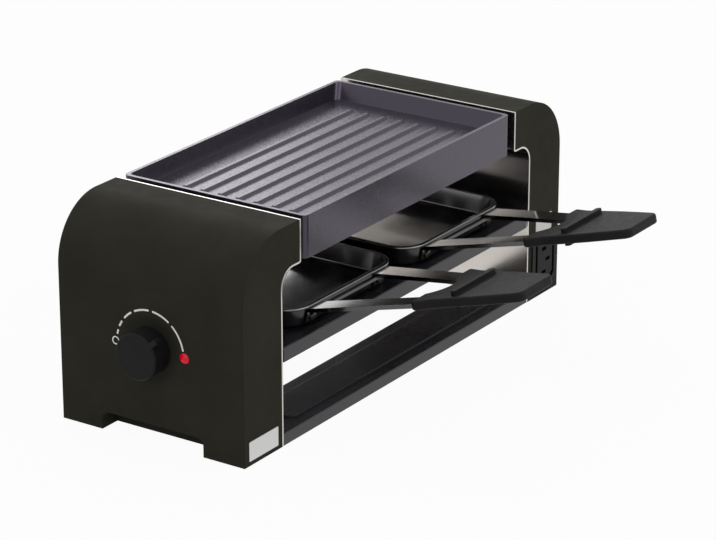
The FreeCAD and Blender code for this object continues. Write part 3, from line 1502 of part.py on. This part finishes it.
def build_all():
    for end, tag in ENDS:
        housing_shell(end, tag + "_housing_shell")
        end_panel(end, tag + "_end_panel")
        bottom_cover(end, tag + "_bottom_cover")
        plate_rest(end, tag + "_plate_rest")
        place = end * (s.pan_length + s.pan_spacing) / 2
        pan_bowl(tag + "_pan_bowl", place)
        pan_frame(tag + "_pan_frame", place)
        pan_rivets(tag + "_pan_rivets", place)
        pan_grip(tag + "_pan_grip", place)
    shelf_tray("shelf_tray")
    base_rail(FRONT, "front_base_rail")
    base_rail(REAR, "rear_base_rail")
    frame_fasteners()
    rest_rivets()
    grill_plate("grill_plate")
    heating_element("heating_element")
    element_mounts()
    control_knob("control_knob")
    regulator_shaft("regulator_shaft")
    regulator_body("regulator_body")
    regulator_nut("regulator_nut")
    pilot_lamp()
    link_outlet("link_outlet")
    power_inlet("power_inlet")
    socket_metal()
    terminal_block("terminal_block")
    thermal_cutout("thermal_cutout")
    leads()


NODES = [
    "near_housing_shell", "far_housing_shell", "near_end_panel", "far_end_panel",
    "near_bottom_cover", "far_bottom_cover", "bottom_cover_screws", "rubber_feet",
    "shelf_tray", "shelf_screws", "front_base_rail", "rear_base_rail", "rail_screws",
    "near_plate_rest", "far_plate_rest", "plate_rest_rivets", "grill_plate",
    "heating_element", "element_flanges", "flange_rivets", "element_clips", "clip_rivets",
    "element_terminals", "control_knob", "regulator_shaft", "regulator_body",
    "regulator_nut", "pilot_lamp_lens", "pilot_lamp_holder", "link_outlet",
    "link_outlet_contacts", "power_inlet", "power_inlet_pins", "terminal_block",
    "thermal_cutout", "supply_lead", "near_leads", "far_leads", "near_pan_bowl",
    "near_pan_frame", "near_pan_rivets", "near_pan_grip", "far_pan_bowl",
    "far_pan_frame", "far_pan_rivets", "far_pan_grip"]


def faults():
    """What failed to build, and each cut that took nothing away."""
    found = []
    for item in doc.Objects:
        if "Invalid" in item.State or "Error" in item.State:
            found.append("%s: %s" % (item.Name, item.State))
        cuts = item.TypeId in ("PartDesign::Pocket", "PartDesign::SubtractiveLoft")
        if cuts and item.Shape.Volume > item.BaseFeature.Shape.Volume - 0.01:
            found.append(item.Name + ": cuts nothing")
    for label in NODES:
        shape = doc.getObjectsByLabel(label)[0].Shape
        if shape.isNull() or not shape.isValid() or not shape.Solids:
            found.append(label + ": no valid solid")
    return found


build_all()
doc.recompute()
problems = faults()
if problems:
    raise SystemExit("\n".join(problems))
os.makedirs("parts", exist_ok=True)
for label in NODES:
    doc.getObjectsByLabel(label)[0].Shape.exportStep(os.path.join("parts", label + ".step"))
print("%d nodes written" % len(NODES))
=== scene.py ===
import json
import math

import bmesh
import bpy
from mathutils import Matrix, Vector


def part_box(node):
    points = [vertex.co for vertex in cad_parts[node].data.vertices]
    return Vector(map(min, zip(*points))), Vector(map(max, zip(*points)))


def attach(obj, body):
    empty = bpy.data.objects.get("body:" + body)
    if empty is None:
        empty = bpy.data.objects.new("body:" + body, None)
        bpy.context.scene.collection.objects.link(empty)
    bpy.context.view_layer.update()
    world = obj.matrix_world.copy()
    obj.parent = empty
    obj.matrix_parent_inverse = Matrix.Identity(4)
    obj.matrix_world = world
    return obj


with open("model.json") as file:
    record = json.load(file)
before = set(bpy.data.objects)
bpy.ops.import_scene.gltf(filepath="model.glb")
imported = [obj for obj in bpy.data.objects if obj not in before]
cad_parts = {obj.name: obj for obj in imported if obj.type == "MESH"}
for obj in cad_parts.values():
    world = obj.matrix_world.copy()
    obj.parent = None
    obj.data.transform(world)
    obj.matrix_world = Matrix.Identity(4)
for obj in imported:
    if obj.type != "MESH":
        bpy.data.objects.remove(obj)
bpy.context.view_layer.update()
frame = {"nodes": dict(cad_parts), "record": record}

# Looks of the raclette grill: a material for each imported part, the printed scale round the
# knob, a blank tag and a blank label, then floor, light and camera. Metres, +Z up.

MM = 0.001
WHITE = (1, 1, 1, 1)


# Node trees

class Tree:
    """A node tree whose nodes are filled with plain values and links alike."""

    def __init__(self, node_tree):
        self.nodes = node_tree.nodes
        self.links = node_tree.links

    def feed(self, node, inputs):
        """Gives inputs, by name or number, a plain value or a link from another node."""
        for key, source in inputs.items():
            if isinstance(source, bpy.types.NodeSocket):
                self.links.new(source, node.inputs[key])
            else:
                node.inputs[key].default_value = source

    def add(self, kind, inputs):
        node = self.nodes.new(kind)
        self.feed(node, inputs)
        return node

    def calculate(self, operation, one, other, clamp=False):
        node = self.nodes.new("ShaderNodeMath")
        node.operation = operation
        node.use_clamp = clamp
        self.feed(node, {0: one, 1: other})
        return node.outputs["Value"]

    def white_share(self, amount):
        """The amount for rays that the camera, a gloss or a glass sends, 0 for all others."""
        path = self.nodes.new("ShaderNodeLightPath")
        seen = path.outputs["Is Camera Ray"]
        for name in ("Is Glossy Ray", "Is Transmission Ray"):
            seen = self.calculate("ADD", seen, path.outputs[name], clamp=True)
        return self.calculate("MULTIPLY", seen, amount)

    def whiten(self, output, share, plain, white):
        """Sends the plain shader, with a share of the white one, to an output node."""
        first, second = 1, 2
        mix = self.add("ShaderNodeMixShader", {"Fac": share, first: plain, second: white})
        self.feed(self.nodes[output], {"Surface": mix.outputs["Shader"]})


# Materials

# Sockets of the mix node when it mixes colours, which share their names with other sockets
MIX_SHARE, MIX_FIRST, MIX_SECOND, MIX_RESULT = 0, 6, 7, 2
# Most of a noise texture lies between these values
NOISE_LOW, NOISE_HIGH = 0.3, 0.7
BEVEL_SAMPLES = 6
# Half the height over which a bare metal changes to the dark colour of the painted shade
PAINTED_SHADE_EDGE = 0.1 * MM


def srgb(red, green, blue):
    """Linear colour from the 0 to 255 values that a picture shows, by the sRGB curve."""
    def linear(value):
        value = value / 255
        return value / 12.92 if value <= 0.04045 else ((value + 0.055) / 1.055) ** 2.4
    return (linear(red), linear(green), linear(blue), 1.0)


class Surface(Tree):
    """A principled material with helpers that add detail at real scale.

    `edge` is the radius to which sharp edges are rounded in the shading.
    """

    def __init__(self, name, colour, roughness=0.5, metallic=0.0, specular=0.5, edge=None):
        self.material = bpy.data.materials.new(name)
        self.material.use_nodes = True
        super().__init__(self.material.node_tree)
        self.shader = self.nodes["Principled BSDF"]
        self.coordinates = self.nodes.new("ShaderNodeTexCoord")
        self.colour = colour
        self.normal = None
        self.feed(self.shader, {"Base Color": colour, "Roughness": roughness,
                                "Metallic": metallic, "Specular IOR Level": specular})
        if edge:
            bevel = self.add("ShaderNodeBevel", {"Radius": edge})
            bevel.samples = BEVEL_SAMPLES
            self.turn_normals(bevel.outputs["Normal"])

    def texture(self, kind, grain, stretch, inputs):
        mapping = self.add("ShaderNodeMapping", {
            "Vector": self.coordinates.outputs["Object"],
            "Scale": [1 / (grain * each) for each in stretch]})
        return self.add(kind, {"Vector": mapping.outputs["Vector"], **inputs})

    def noise(self, grain, detail, stretch=(1, 1, 1)):
        """Noise whose features are about `grain` metres, stretched along the axes given."""
        settings = {"Scale": 1.0, "Detail": detail}
        return self.texture("ShaderNodeTexNoise", grain, stretch, settings).outputs["Fac"]

    def speckle(self, grain):
        """Round cells, five of them along `grain` metres."""
        settings = {"Scale": 5.0}
        return self.texture("ShaderNodeTexVoronoi", grain, (1, 1, 1), settings).outputs["Distance"]

    def upright_part(self, vector):
        return self.add("ShaderNodeSeparateXYZ", {"Vector": vector}).outputs["Z"]

    def height(self):
        return self.upright_part(self.coordinates.outputs["Object"])

    def upward(self):
        """Near 1 on faces that look up, 0 on upright ones and -1 on those that look down."""
        return self.upright_part(self.coordinates.outputs["Normal"])

    def spread(self, value, low, high, start=NOISE_LOW, end=NOISE_HIGH):
        """Maps a value between start and end to the range from low to high."""
        node = self.add("ShaderNodeMapRange", {
            "Value": value, "From Min": start, "From Max": end, "To Min": low, "To Max": high})
        return node.outputs["Result"]

    def blend(self, share, first, second):
        """Makes the base colour a mix of two colours."""
        mix = self.nodes.new("ShaderNodeMix")
        mix.data_type = "RGBA"
        self.feed(mix, {MIX_SHARE: share, MIX_FIRST: first, MIX_SECOND: second})
        self.colour = mix.outputs[MIX_RESULT]
        self.feed(self.shader, {"Base Color": self.colour})

    def tint(self, value, other, share):
        """Blends the base colour towards another by a texture."""
        self.blend(self.spread(value, 0.0, share), self.colour, other)

    def painted_shade_below(self, level, colour):
        """Below a level the bare metal gives way to a darker non-metal colour, a painted shade."""
        bare = self.spread(self.height(), 0.0, 1.0, level - PAINTED_SHADE_EDGE, level + PAINTED_SHADE_EDGE)
        self.feed(self.shader, {"Metallic": bare})
        self.blend(bare, colour, self.colour)

    def rough(self, value, low, high):
        self.feed(self.shader, {"Roughness": self.spread(value, low, high)})

    def turn_normals(self, normal):
        self.normal = normal
        self.feed(self.shader, {"Normal": normal})

    def bump(self, value, depth, strength):
        """Relief on top of the rounded edges and of any bump given before."""
        node = self.add("ShaderNodeBump", {
            "Height": value, "Distance": depth, "Strength": strength})
        if self.normal:
            self.feed(node, {"Normal": self.normal})
        self.turn_normals(node.outputs["Normal"])


def housing_coat():
    """Satin powder coat, olive black, with a fine orange-peel."""
    look = Surface("housing_coat", srgb(44, 43, 37), specular=0.04, edge=0.5 * MM)
    look.tint(look.noise(30 * MM, detail=3), srgb(52, 51, 44), share=0.7)
    look.rough(look.noise(6 * MM, detail=5), low=0.6, high=0.7)
    look.bump(look.noise(0.5 * MM, detail=3), depth=0.012 * MM, strength=0.5)
    return look.material


def panel_steel():
    """Polished stainless sheet with a faint lengthwise grain."""
    look = Surface("panel_steel", srgb(205, 199, 193), metallic=1.0, edge=0.25 * MM)
    look.rough(look.noise(8 * MM, detail=1, stretch=(1, 5, 1)), low=0.18, high=0.23)
    look.feed(look.shader, {"Anisotropic": 0.4})
    grain = look.noise(0.25 * MM, detail=3, stretch=(1, 60, 1))
    look.bump(grain, depth=0.002 * MM, strength=0.3)
    return look.material


def plain_metal(name, colour, low, high):
    """Turned or stamped metal with a brushed grain and a duller, greyer film in patches."""
    look = Surface(name, colour, metallic=1.0, edge=0.2 * MM)
    look.tint(look.noise(4 * MM, detail=5), srgb(110, 108, 106), share=0.5)
    look.rough(look.noise(2 * MM, detail=5), low, high)
    grain = look.noise(0.2 * MM, detail=3, stretch=(1, 12, 1))
    look.bump(grain, depth=0.004 * MM, strength=0.4)
    return look.material


def frame_steel():
    """Steel of the pan frames with a painted sheen: faces that look up are painted much lighter
    than the flanges. Below the tab top the tabs are painted dark and not metal, a painted shade.
    """
    tab_top = 62.9 * MM
    look = Surface("frame_steel", srgb(84, 82, 84), edge=0.15 * MM)
    # Painted sheen: faces that look up get a much lighter colour, for the light that the tops
    # catch
    look.tint(look.upward(), srgb(202, 200, 198), share=1.0)
    look.tint(look.noise(3 * MM, detail=4, stretch=(1, 8, 1)), srgb(96, 94, 94), share=0.25)
    # Painted shade: the tabs below the tab top get a dark non-metal colour, for the shadow under
    # the rim
    look.painted_shade_below(tab_top, srgb(20, 19, 20))
    look.rough(look.noise(1.5 * MM, detail=1, stretch=(1, 10, 1)), low=0.09, high=0.12)
    grain = look.noise(0.2 * MM, detail=3, stretch=(1, 20, 1))
    look.bump(grain, depth=0.001 * MM, strength=0.15)
    return look.material


def shelf_coat():
    """Black non-stick coat, semi-gloss, over sheet."""
    look = Surface("shelf_coat", srgb(25, 23, 28), specular=0.42, edge=0.4 * MM)
    look.tint(look.noise(22 * MM, detail=4), srgb(33, 30, 37), share=0.6)
    look.rough(look.noise(16 * MM, detail=1), low=0.24, high=0.29)
    look.bump(look.noise(0.35 * MM, detail=4), depth=0.003 * MM, strength=0.06)
    return look.material


def plate_coat():
    """Fine textured non-stick coat on cast aluminium, whose gloss is a little violet."""
    look = Surface("plate_coat", srgb(27, 24, 31), specular=0.8, edge=0.15 * MM)
    look.feed(look.shader, {"Specular Tint": srgb(240, 228, 255)})
    look.tint(look.speckle(0.5 * MM), srgb(45, 41, 51), share=0.3)
    look.rough(look.noise(4 * MM, detail=3), low=0.23, high=0.28)
    look.bump(look.speckle(0.45 * MM), depth=0.03 * MM, strength=0.25)
    look.bump(look.noise(1.2 * MM, detail=4), depth=0.02 * MM, strength=0.3)
    return look.material


def pan_coat():
    """Gloss black coat of the pans, slightly wavy where drawn, and duller on the outside."""
    look = Surface("pan_enamel", srgb(24, 22, 24), specular=0.5, edge=0.4 * MM)
    inside = look.spread(look.upward(), 0.0, 1.0, start=-0.1, end=0.02)
    look.feed(look.shader, {"Coat Weight": inside, "Coat Roughness": 0.1, "Coat IOR": 2.1})
    look.rough(look.noise(9 * MM, detail=1), low=0.18, high=0.23)
    look.bump(look.noise(14 * MM, detail=2), depth=0.05 * MM, strength=0.25)
    look.bump(look.noise(0.4 * MM, detail=3), depth=0.004 * MM, strength=0.4)
    return look.material


def moulded(name, colour, low, high, specular=0.4, grain=0.35 * MM, depth=0.02 * MM):
    """Moulded plastic, rubber or ceramic with a fine grain."""
    gain, lift = 1.35, 0.002
    look = Surface(name, colour, specular=specular, edge=0.35 * MM)
    lighter = tuple(min(1, channel * gain + lift) for channel in colour[:3]) + (1.0,)
    look.tint(look.noise(9 * MM, detail=5), lighter, share=0.5)
    look.rough(look.noise(3 * MM, detail=5), low, high)
    look.bump(look.speckle(grain), depth, strength=0.45)
    return look.material


def element_tube():
    """Dull tube that heat has tinted brown and blue along its length."""
    look = Surface("element_steel", srgb(92, 86, 80), metallic=0.9, edge=0.1 * MM)
    look.tint(look.noise(25 * MM, detail=3), srgb(66, 52, 44), share=0.8)
    look.tint(look.noise(13 * MM, detail=4), srgb(52, 54, 64), share=0.5)
    look.rough(look.noise(2 * MM, detail=5), low=0.38, high=0.58)
    look.bump(look.noise(0.3 * MM, detail=4), depth=0.01 * MM, strength=0.5)
    return look.material


def red_lens():
    """Red plastic lens with the pilot lamp lit behind it."""
    look = Surface("red_lens", srgb(188, 0, 34), roughness=0.14, specular=0.2, edge=0.1 * MM)
    look.feed(look.shader, {"Transmission Weight": 0.25,
                            "Emission Color": srgb(225, 4, 34), "Emission Strength": 0.35})
    look.tint(look.noise(1.5 * MM, detail=3), srgb(150, 4, 20), share=0.5)
    look.bump(look.noise(1.2 * MM, detail=2), depth=0.01 * MM, strength=0.3)
    return look.material


def tag_metal():
    """Bare aluminium tag with a brushed face."""
    look = Surface("tag_aluminium", srgb(206, 206, 204), metallic=0.85, edge=0.1 * MM)
    look.rough(look.noise(0.2 * MM, detail=4, stretch=(40, 1, 1)), low=0.28, high=0.42)
    grain = look.noise(0.15 * MM, detail=3, stretch=(60, 1, 1))
    look.bump(grain, depth=0.003 * MM, strength=0.4)
    return look.material


def label_film():
    """Blank satin label film."""
    look = Surface("label_film", srgb(218, 218, 214), specular=0.35)
    look.tint(look.noise(3 * MM, detail=4), srgb(198, 198, 193), share=0.5)
    look.rough(look.noise(1 * MM, detail=4), low=0.36, high=0.5)
    look.bump(look.noise(0.4 * MM, detail=3), depth=0.006 * MM, strength=0.4)
    return look.material


def scale_print():
    """White screen print, a touch uneven."""
    look = Surface("scale_print", srgb(252, 252, 249), roughness=0.5, specular=0.3)
    look.tint(look.noise(0.6 * MM, detail=4), srgb(240, 240, 236), share=0.5)
    look.bump(look.noise(0.2 * MM, detail=3), depth=0.004 * MM, strength=0.4)
    return look.material


LOOKS = {
    "housing_coat": housing_coat(),
    "panel_steel": panel_steel(),
    "cover_sheet": moulded("cover_sheet", srgb(34, 34, 34), low=0.45, high=0.6),
    "shelf_coat": shelf_coat(),
    "plate_coat": plate_coat(),
    "pan_enamel": pan_coat(),
    "bright_steel": plain_metal("bright_steel", srgb(150, 148, 146), low=0.28, high=0.4),
    "screw_steel": plain_metal("screw_steel", srgb(164, 163, 160), low=0.25, high=0.36),
    "element_steel": element_tube(),
    "black_plastic": moulded("black_plastic", srgb(15, 14, 16), low=0.5, high=0.6,
                             specular=0.14),
    "grey_plastic": moulded("grey_plastic", srgb(70, 70, 71), low=0.4, high=0.5),
    "red_lens": red_lens(),
    "brass_metal": plain_metal("brass_metal", srgb(206, 176, 112), low=0.22, high=0.34),
    "ceramic_white": moulded("ceramic_white", srgb(226, 223, 212), low=0.5, high=0.62,
                             grain=0.25 * MM, depth=0.012 * MM),
    "foot_rubber": moulded("foot_rubber", srgb(26, 26, 26), low=0.68, high=0.8),
    "lead_sheath": moulded("lead_sheath", srgb(28, 28, 28), low=0.5, high=0.62),
    "lead_insulation": moulded("lead_insulation", srgb(150, 40, 34), low=0.42, high=0.55),
    "shaft_plastic": moulded("shaft_plastic", srgb(214, 212, 205), low=0.4, high=0.5),
}

# Parts that look unlike the other parts of their slot
FRAME_STEEL = frame_steel()
OWN_LOOKS = {
    "near_pan_frame": FRAME_STEEL,
    "far_pan_frame": FRAME_STEEL,
    "near_pan_rivets": LOOKS["pan_enamel"],
    "far_pan_rivets": LOOKS["pan_enamel"],
}


def dress_nodes():
    for part in frame["record"]["subparts"]:
        mesh = frame["nodes"][part["node"]].data
        mesh.materials.clear()
        mesh.materials.append(OWN_LOOKS.get(part["node"], LOOKS[part["material_slot"]]))


# Printed scale and blank plates on the housings

END_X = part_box("near_housing_shell")[0].x
SIDE_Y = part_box("near_housing_shell")[0].y
# The nut is round about the knob's axis, and the knob isn't, with its pointer tab
NUT_LOW, NUT_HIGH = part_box("regulator_nut")
KNOB_CENTRE = (NUT_LOW + NUT_HIGH) / 2


def add_object(name, data):
    item = bpy.data.objects.new(name, data)
    bpy.context.scene.collection.objects.link(item)
    return item


def add_piece(name, mesh_builder, material, body):
    """A mesh piece that moves with a body and takes the material given."""
    mesh = bpy.data.meshes.new(name)
    builder = bmesh.new()
    mesh_builder(builder)
    bmesh.ops.recalc_face_normals(builder, faces=builder.faces[:])
    builder.to_mesh(mesh)
    builder.free()
    mesh.materials.append(material)
    piece = add_object(name, mesh)
    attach(piece, body)


def join_loops(builder, one, other):
    """A band of faces between two closed loops with the same number of corners."""
    for index in range(len(one)):
        following = (index + 1) % len(one)
        builder.faces.new((one[index], one[following], other[following], other[index]))


def raise_outline(builder, outline, lift):
    """A closed prism from an outline of points and a lift vector."""
    low = [builder.verts.new(point) for point in outline]
    high = [builder.verts.new(point + lift) for point in outline]
    builder.faces.new(low[::-1])
    builder.faces.new(high)
    join_loops(builder, low, high)


PRINT_LIFT = 0.04 * MM
SCALE_RADIUS = 20.9 * MM
DASH_WIDTH = 1.0 * MM
# Start and end of each dash, in degrees up from the handle side
DASHES = ((162, 169), (146, 156), (123, 139.5), (91, 117), (55, 85), (10, 49))
DASH_STEP = 3
DASH_LEAST_STEPS = 3
OFF_ANGLE = 179.5
OFF_RADIUS = 21.7 * MM
OFF_INNER = 1.65 * MM
OFF_OUTER = 2.3 * MM
OFF_STEPS = 28


def on_dial(radius, angle):
    """A point of the end face at an angle up from the -Y direction, about the knob."""
    turn = math.radians(angle)
    along = KNOB_CENTRE.y - radius * math.cos(turn)
    return Vector((END_X, along, KNOB_CENTRE.z + radius * math.sin(turn)))


def dial_dash(builder, start, end):
    steps = max(DASH_LEAST_STEPS, int((end - start) / DASH_STEP))
    angles = [start + (end - start) * step / steps for step in range(steps + 1)]
    outer = [on_dial(SCALE_RADIUS + DASH_WIDTH / 2, angle) for angle in angles]
    inner = [on_dial(SCALE_RADIUS - DASH_WIDTH / 2, angle) for angle in angles]
    raise_outline(builder, outer + inner[::-1], Vector((-PRINT_LIFT, 0, 0)))


def off_ring(builder):
    """The small ring that marks the off place."""
    centre = on_dial(OFF_RADIUS, OFF_ANGLE)
    turns = [2 * math.pi * step / OFF_STEPS for step in range(OFF_STEPS)]
    rings = []
    for radius, lift in ((OFF_INNER, 0), (OFF_OUTER, 0),
                         (OFF_OUTER, -PRINT_LIFT), (OFF_INNER, -PRINT_LIFT)):
        rings.append([builder.verts.new(centre + Vector(
            (lift, radius * math.cos(turn), radius * math.sin(turn)))) for turn in turns])
    for one, other in zip(rings, rings[1:] + rings[:1]):
        join_loops(builder, one, other)


def dial_marks(builder):
    for start, end in DASHES:
        dial_dash(builder, start, end)
    off_ring(builder)


TAG_X = (-148.8 * MM, -123.9 * MM)
TAG_Z = (3.5 * MM, 14.0 * MM)
TAG_SHEET = 0.3 * MM
LABEL_X = (127.8 * MM, 144.8 * MM)
LABEL_Z = (38.5 * MM, 48.5 * MM)
LABEL_SHEET = 0.12 * MM
PLATE_CORNER = 0.6 * MM
CORNER_STEPS = 4


def rounded_outline(across, up, corner):
    """Corners (u, v) of a rectangle with round corners, from its spans across and up."""
    left, right = across[0] + corner, across[1] - corner
    low, high = up[0] + corner, up[1] - corner
    points = []
    for quarter, (u, v) in enumerate(((right, low), (right, high), (left, high), (left, low))):
        for step in range(CORNER_STEPS + 1):
            turn = math.radians(90 * (quarter - 1 + step / CORNER_STEPS))
            points.append((u + corner * math.cos(turn), v + corner * math.sin(turn)))
    return points


def bare_plate(builder, across, up, sheet):
    """A blank plate on the handle side of a housing."""
    outline = [Vector((u, SIDE_Y, v)) for u, v in rounded_outline(across, up, PLATE_CORNER)]
    raise_outline(builder, outline, Vector((0, -sheet, 0)))


def bare_tag(builder):
    bare_plate(builder, TAG_X, TAG_Z, TAG_SHEET)


def bare_label(builder):
    bare_plate(builder, LABEL_X, LABEL_Z, LABEL_SHEET)


# Floor, light and camera

FLOOR_SIZE = 6.0
# Strength of the plain white that is seen behind the grill and mirrored in it
BACKGROUND = 1.0
# How much of the floor is that white, and how strongly the sky lights the rest
FLOOR_GLOW = 0.95
SKY_LIGHT = 0.3


def add_floor():
    mesh = bpy.data.meshes.new("floor")
    half = FLOOR_SIZE / 2
    corners = [(-half, -half, 0), (half, -half, 0), (half, half, 0), (-half, half, 0)]
    mesh.from_pydata(corners, [], [(0, 1, 2, 3)])
    floor = add_object("floor", mesh)
    look = Surface("floor_paper", srgb(235, 235, 235), roughness=0.9, specular=0.1)
    white = look.add("ShaderNodeEmission", {"Color": WHITE, "Strength": BACKGROUND})
    look.whiten("Material Output", look.white_share(FLOOR_GLOW),
                look.shader.outputs["BSDF"], white.outputs["Emission"])
    mesh.materials.append(look.material)


def set_world():
    world = bpy.data.worlds.new("studio")
    bpy.context.scene.world = world
    world.use_nodes = True
    studio = Tree(world.node_tree)
    sky = studio.nodes["Background"]
    studio.feed(sky, {"Color": WHITE, "Strength": SKY_LIGHT})
    white = studio.add("ShaderNodeBackground", {"Color": WHITE, "Strength": BACKGROUND})
    studio.whiten("World Output", studio.white_share(1.0),
                  sky.outputs["Background"], white.outputs["Background"])


# Each box of light with its place, the point it aims at, its sides and its power in watts
LIGHT_BOXES = (
    {"name": "top_box", "place": (0.0, 0.1, 1.3), "aim": (0, 0, 0.06),
     "size": (1.8, 1.4), "watts": 7},
    {"name": "front_box", "place": (0.3, -1.6, 0.95), "aim": (0, 0, 0.06),
     "size": (1.6, 1.2), "watts": 9},
    {"name": "end_box", "place": (-1.7, -0.2, 1.1), "aim": (0, 0, 0.06),
     "size": (1.3, 1.2), "watts": 5.5},
    {"name": "back_box", "place": (0.83, 0.93, 0.62), "aim": (0, 0, 0.1),
     "size": (0.56, 0.45), "watts": 2.1},
)


def add_light_box(name, place, aim, size, watts):
    light = bpy.data.lights.new(name, "AREA")
    light.shape = "RECTANGLE"
    light.size, light.size_y = size
    light.energy = watts
    lamp = add_object(name, light)
    lamp.location = place
    direction = Vector(aim) - Vector(place)
    lamp.rotation_euler = direction.to_track_quat("-Z", "Y").to_euler()


# The camera that the photo's straight edges give, with its backward axis. Lens and sensor
# in millimetres.
CAMERA_PLACE = Vector((-1.28985, -0.88672, 0.64387))
CAMERA_BACK = Vector((-0.7762, -0.5198, 0.3567))
CAMERA_LENS = 156.36
SENSOR_WIDTH = 36.0
CLIP_START = 0.05


def add_camera():
    camera_data = bpy.data.cameras.new("camera")
    camera_data.sensor_width = SENSOR_WIDTH
    camera_data.lens = CAMERA_LENS
    camera_data.clip_start = CLIP_START
    camera = add_object("camera", camera_data)
    camera.location = CAMERA_PLACE
    camera.rotation_euler = CAMERA_BACK.to_track_quat("Z", "Y").to_euler()
    bpy.context.scene.camera = camera


dress_nodes()
add_piece("dial_marks", dial_marks, scale_print(), "housing")
add_piece("bare_tag", bare_tag, tag_metal(), "housing")
add_piece("bare_label", bare_label, label_film(), "housing")
add_floor()
set_world()
for box in LIGHT_BOXES:
    add_light_box(**box)
add_camera()
bpy.context.scene.view_settings.view_transform = "Standard"
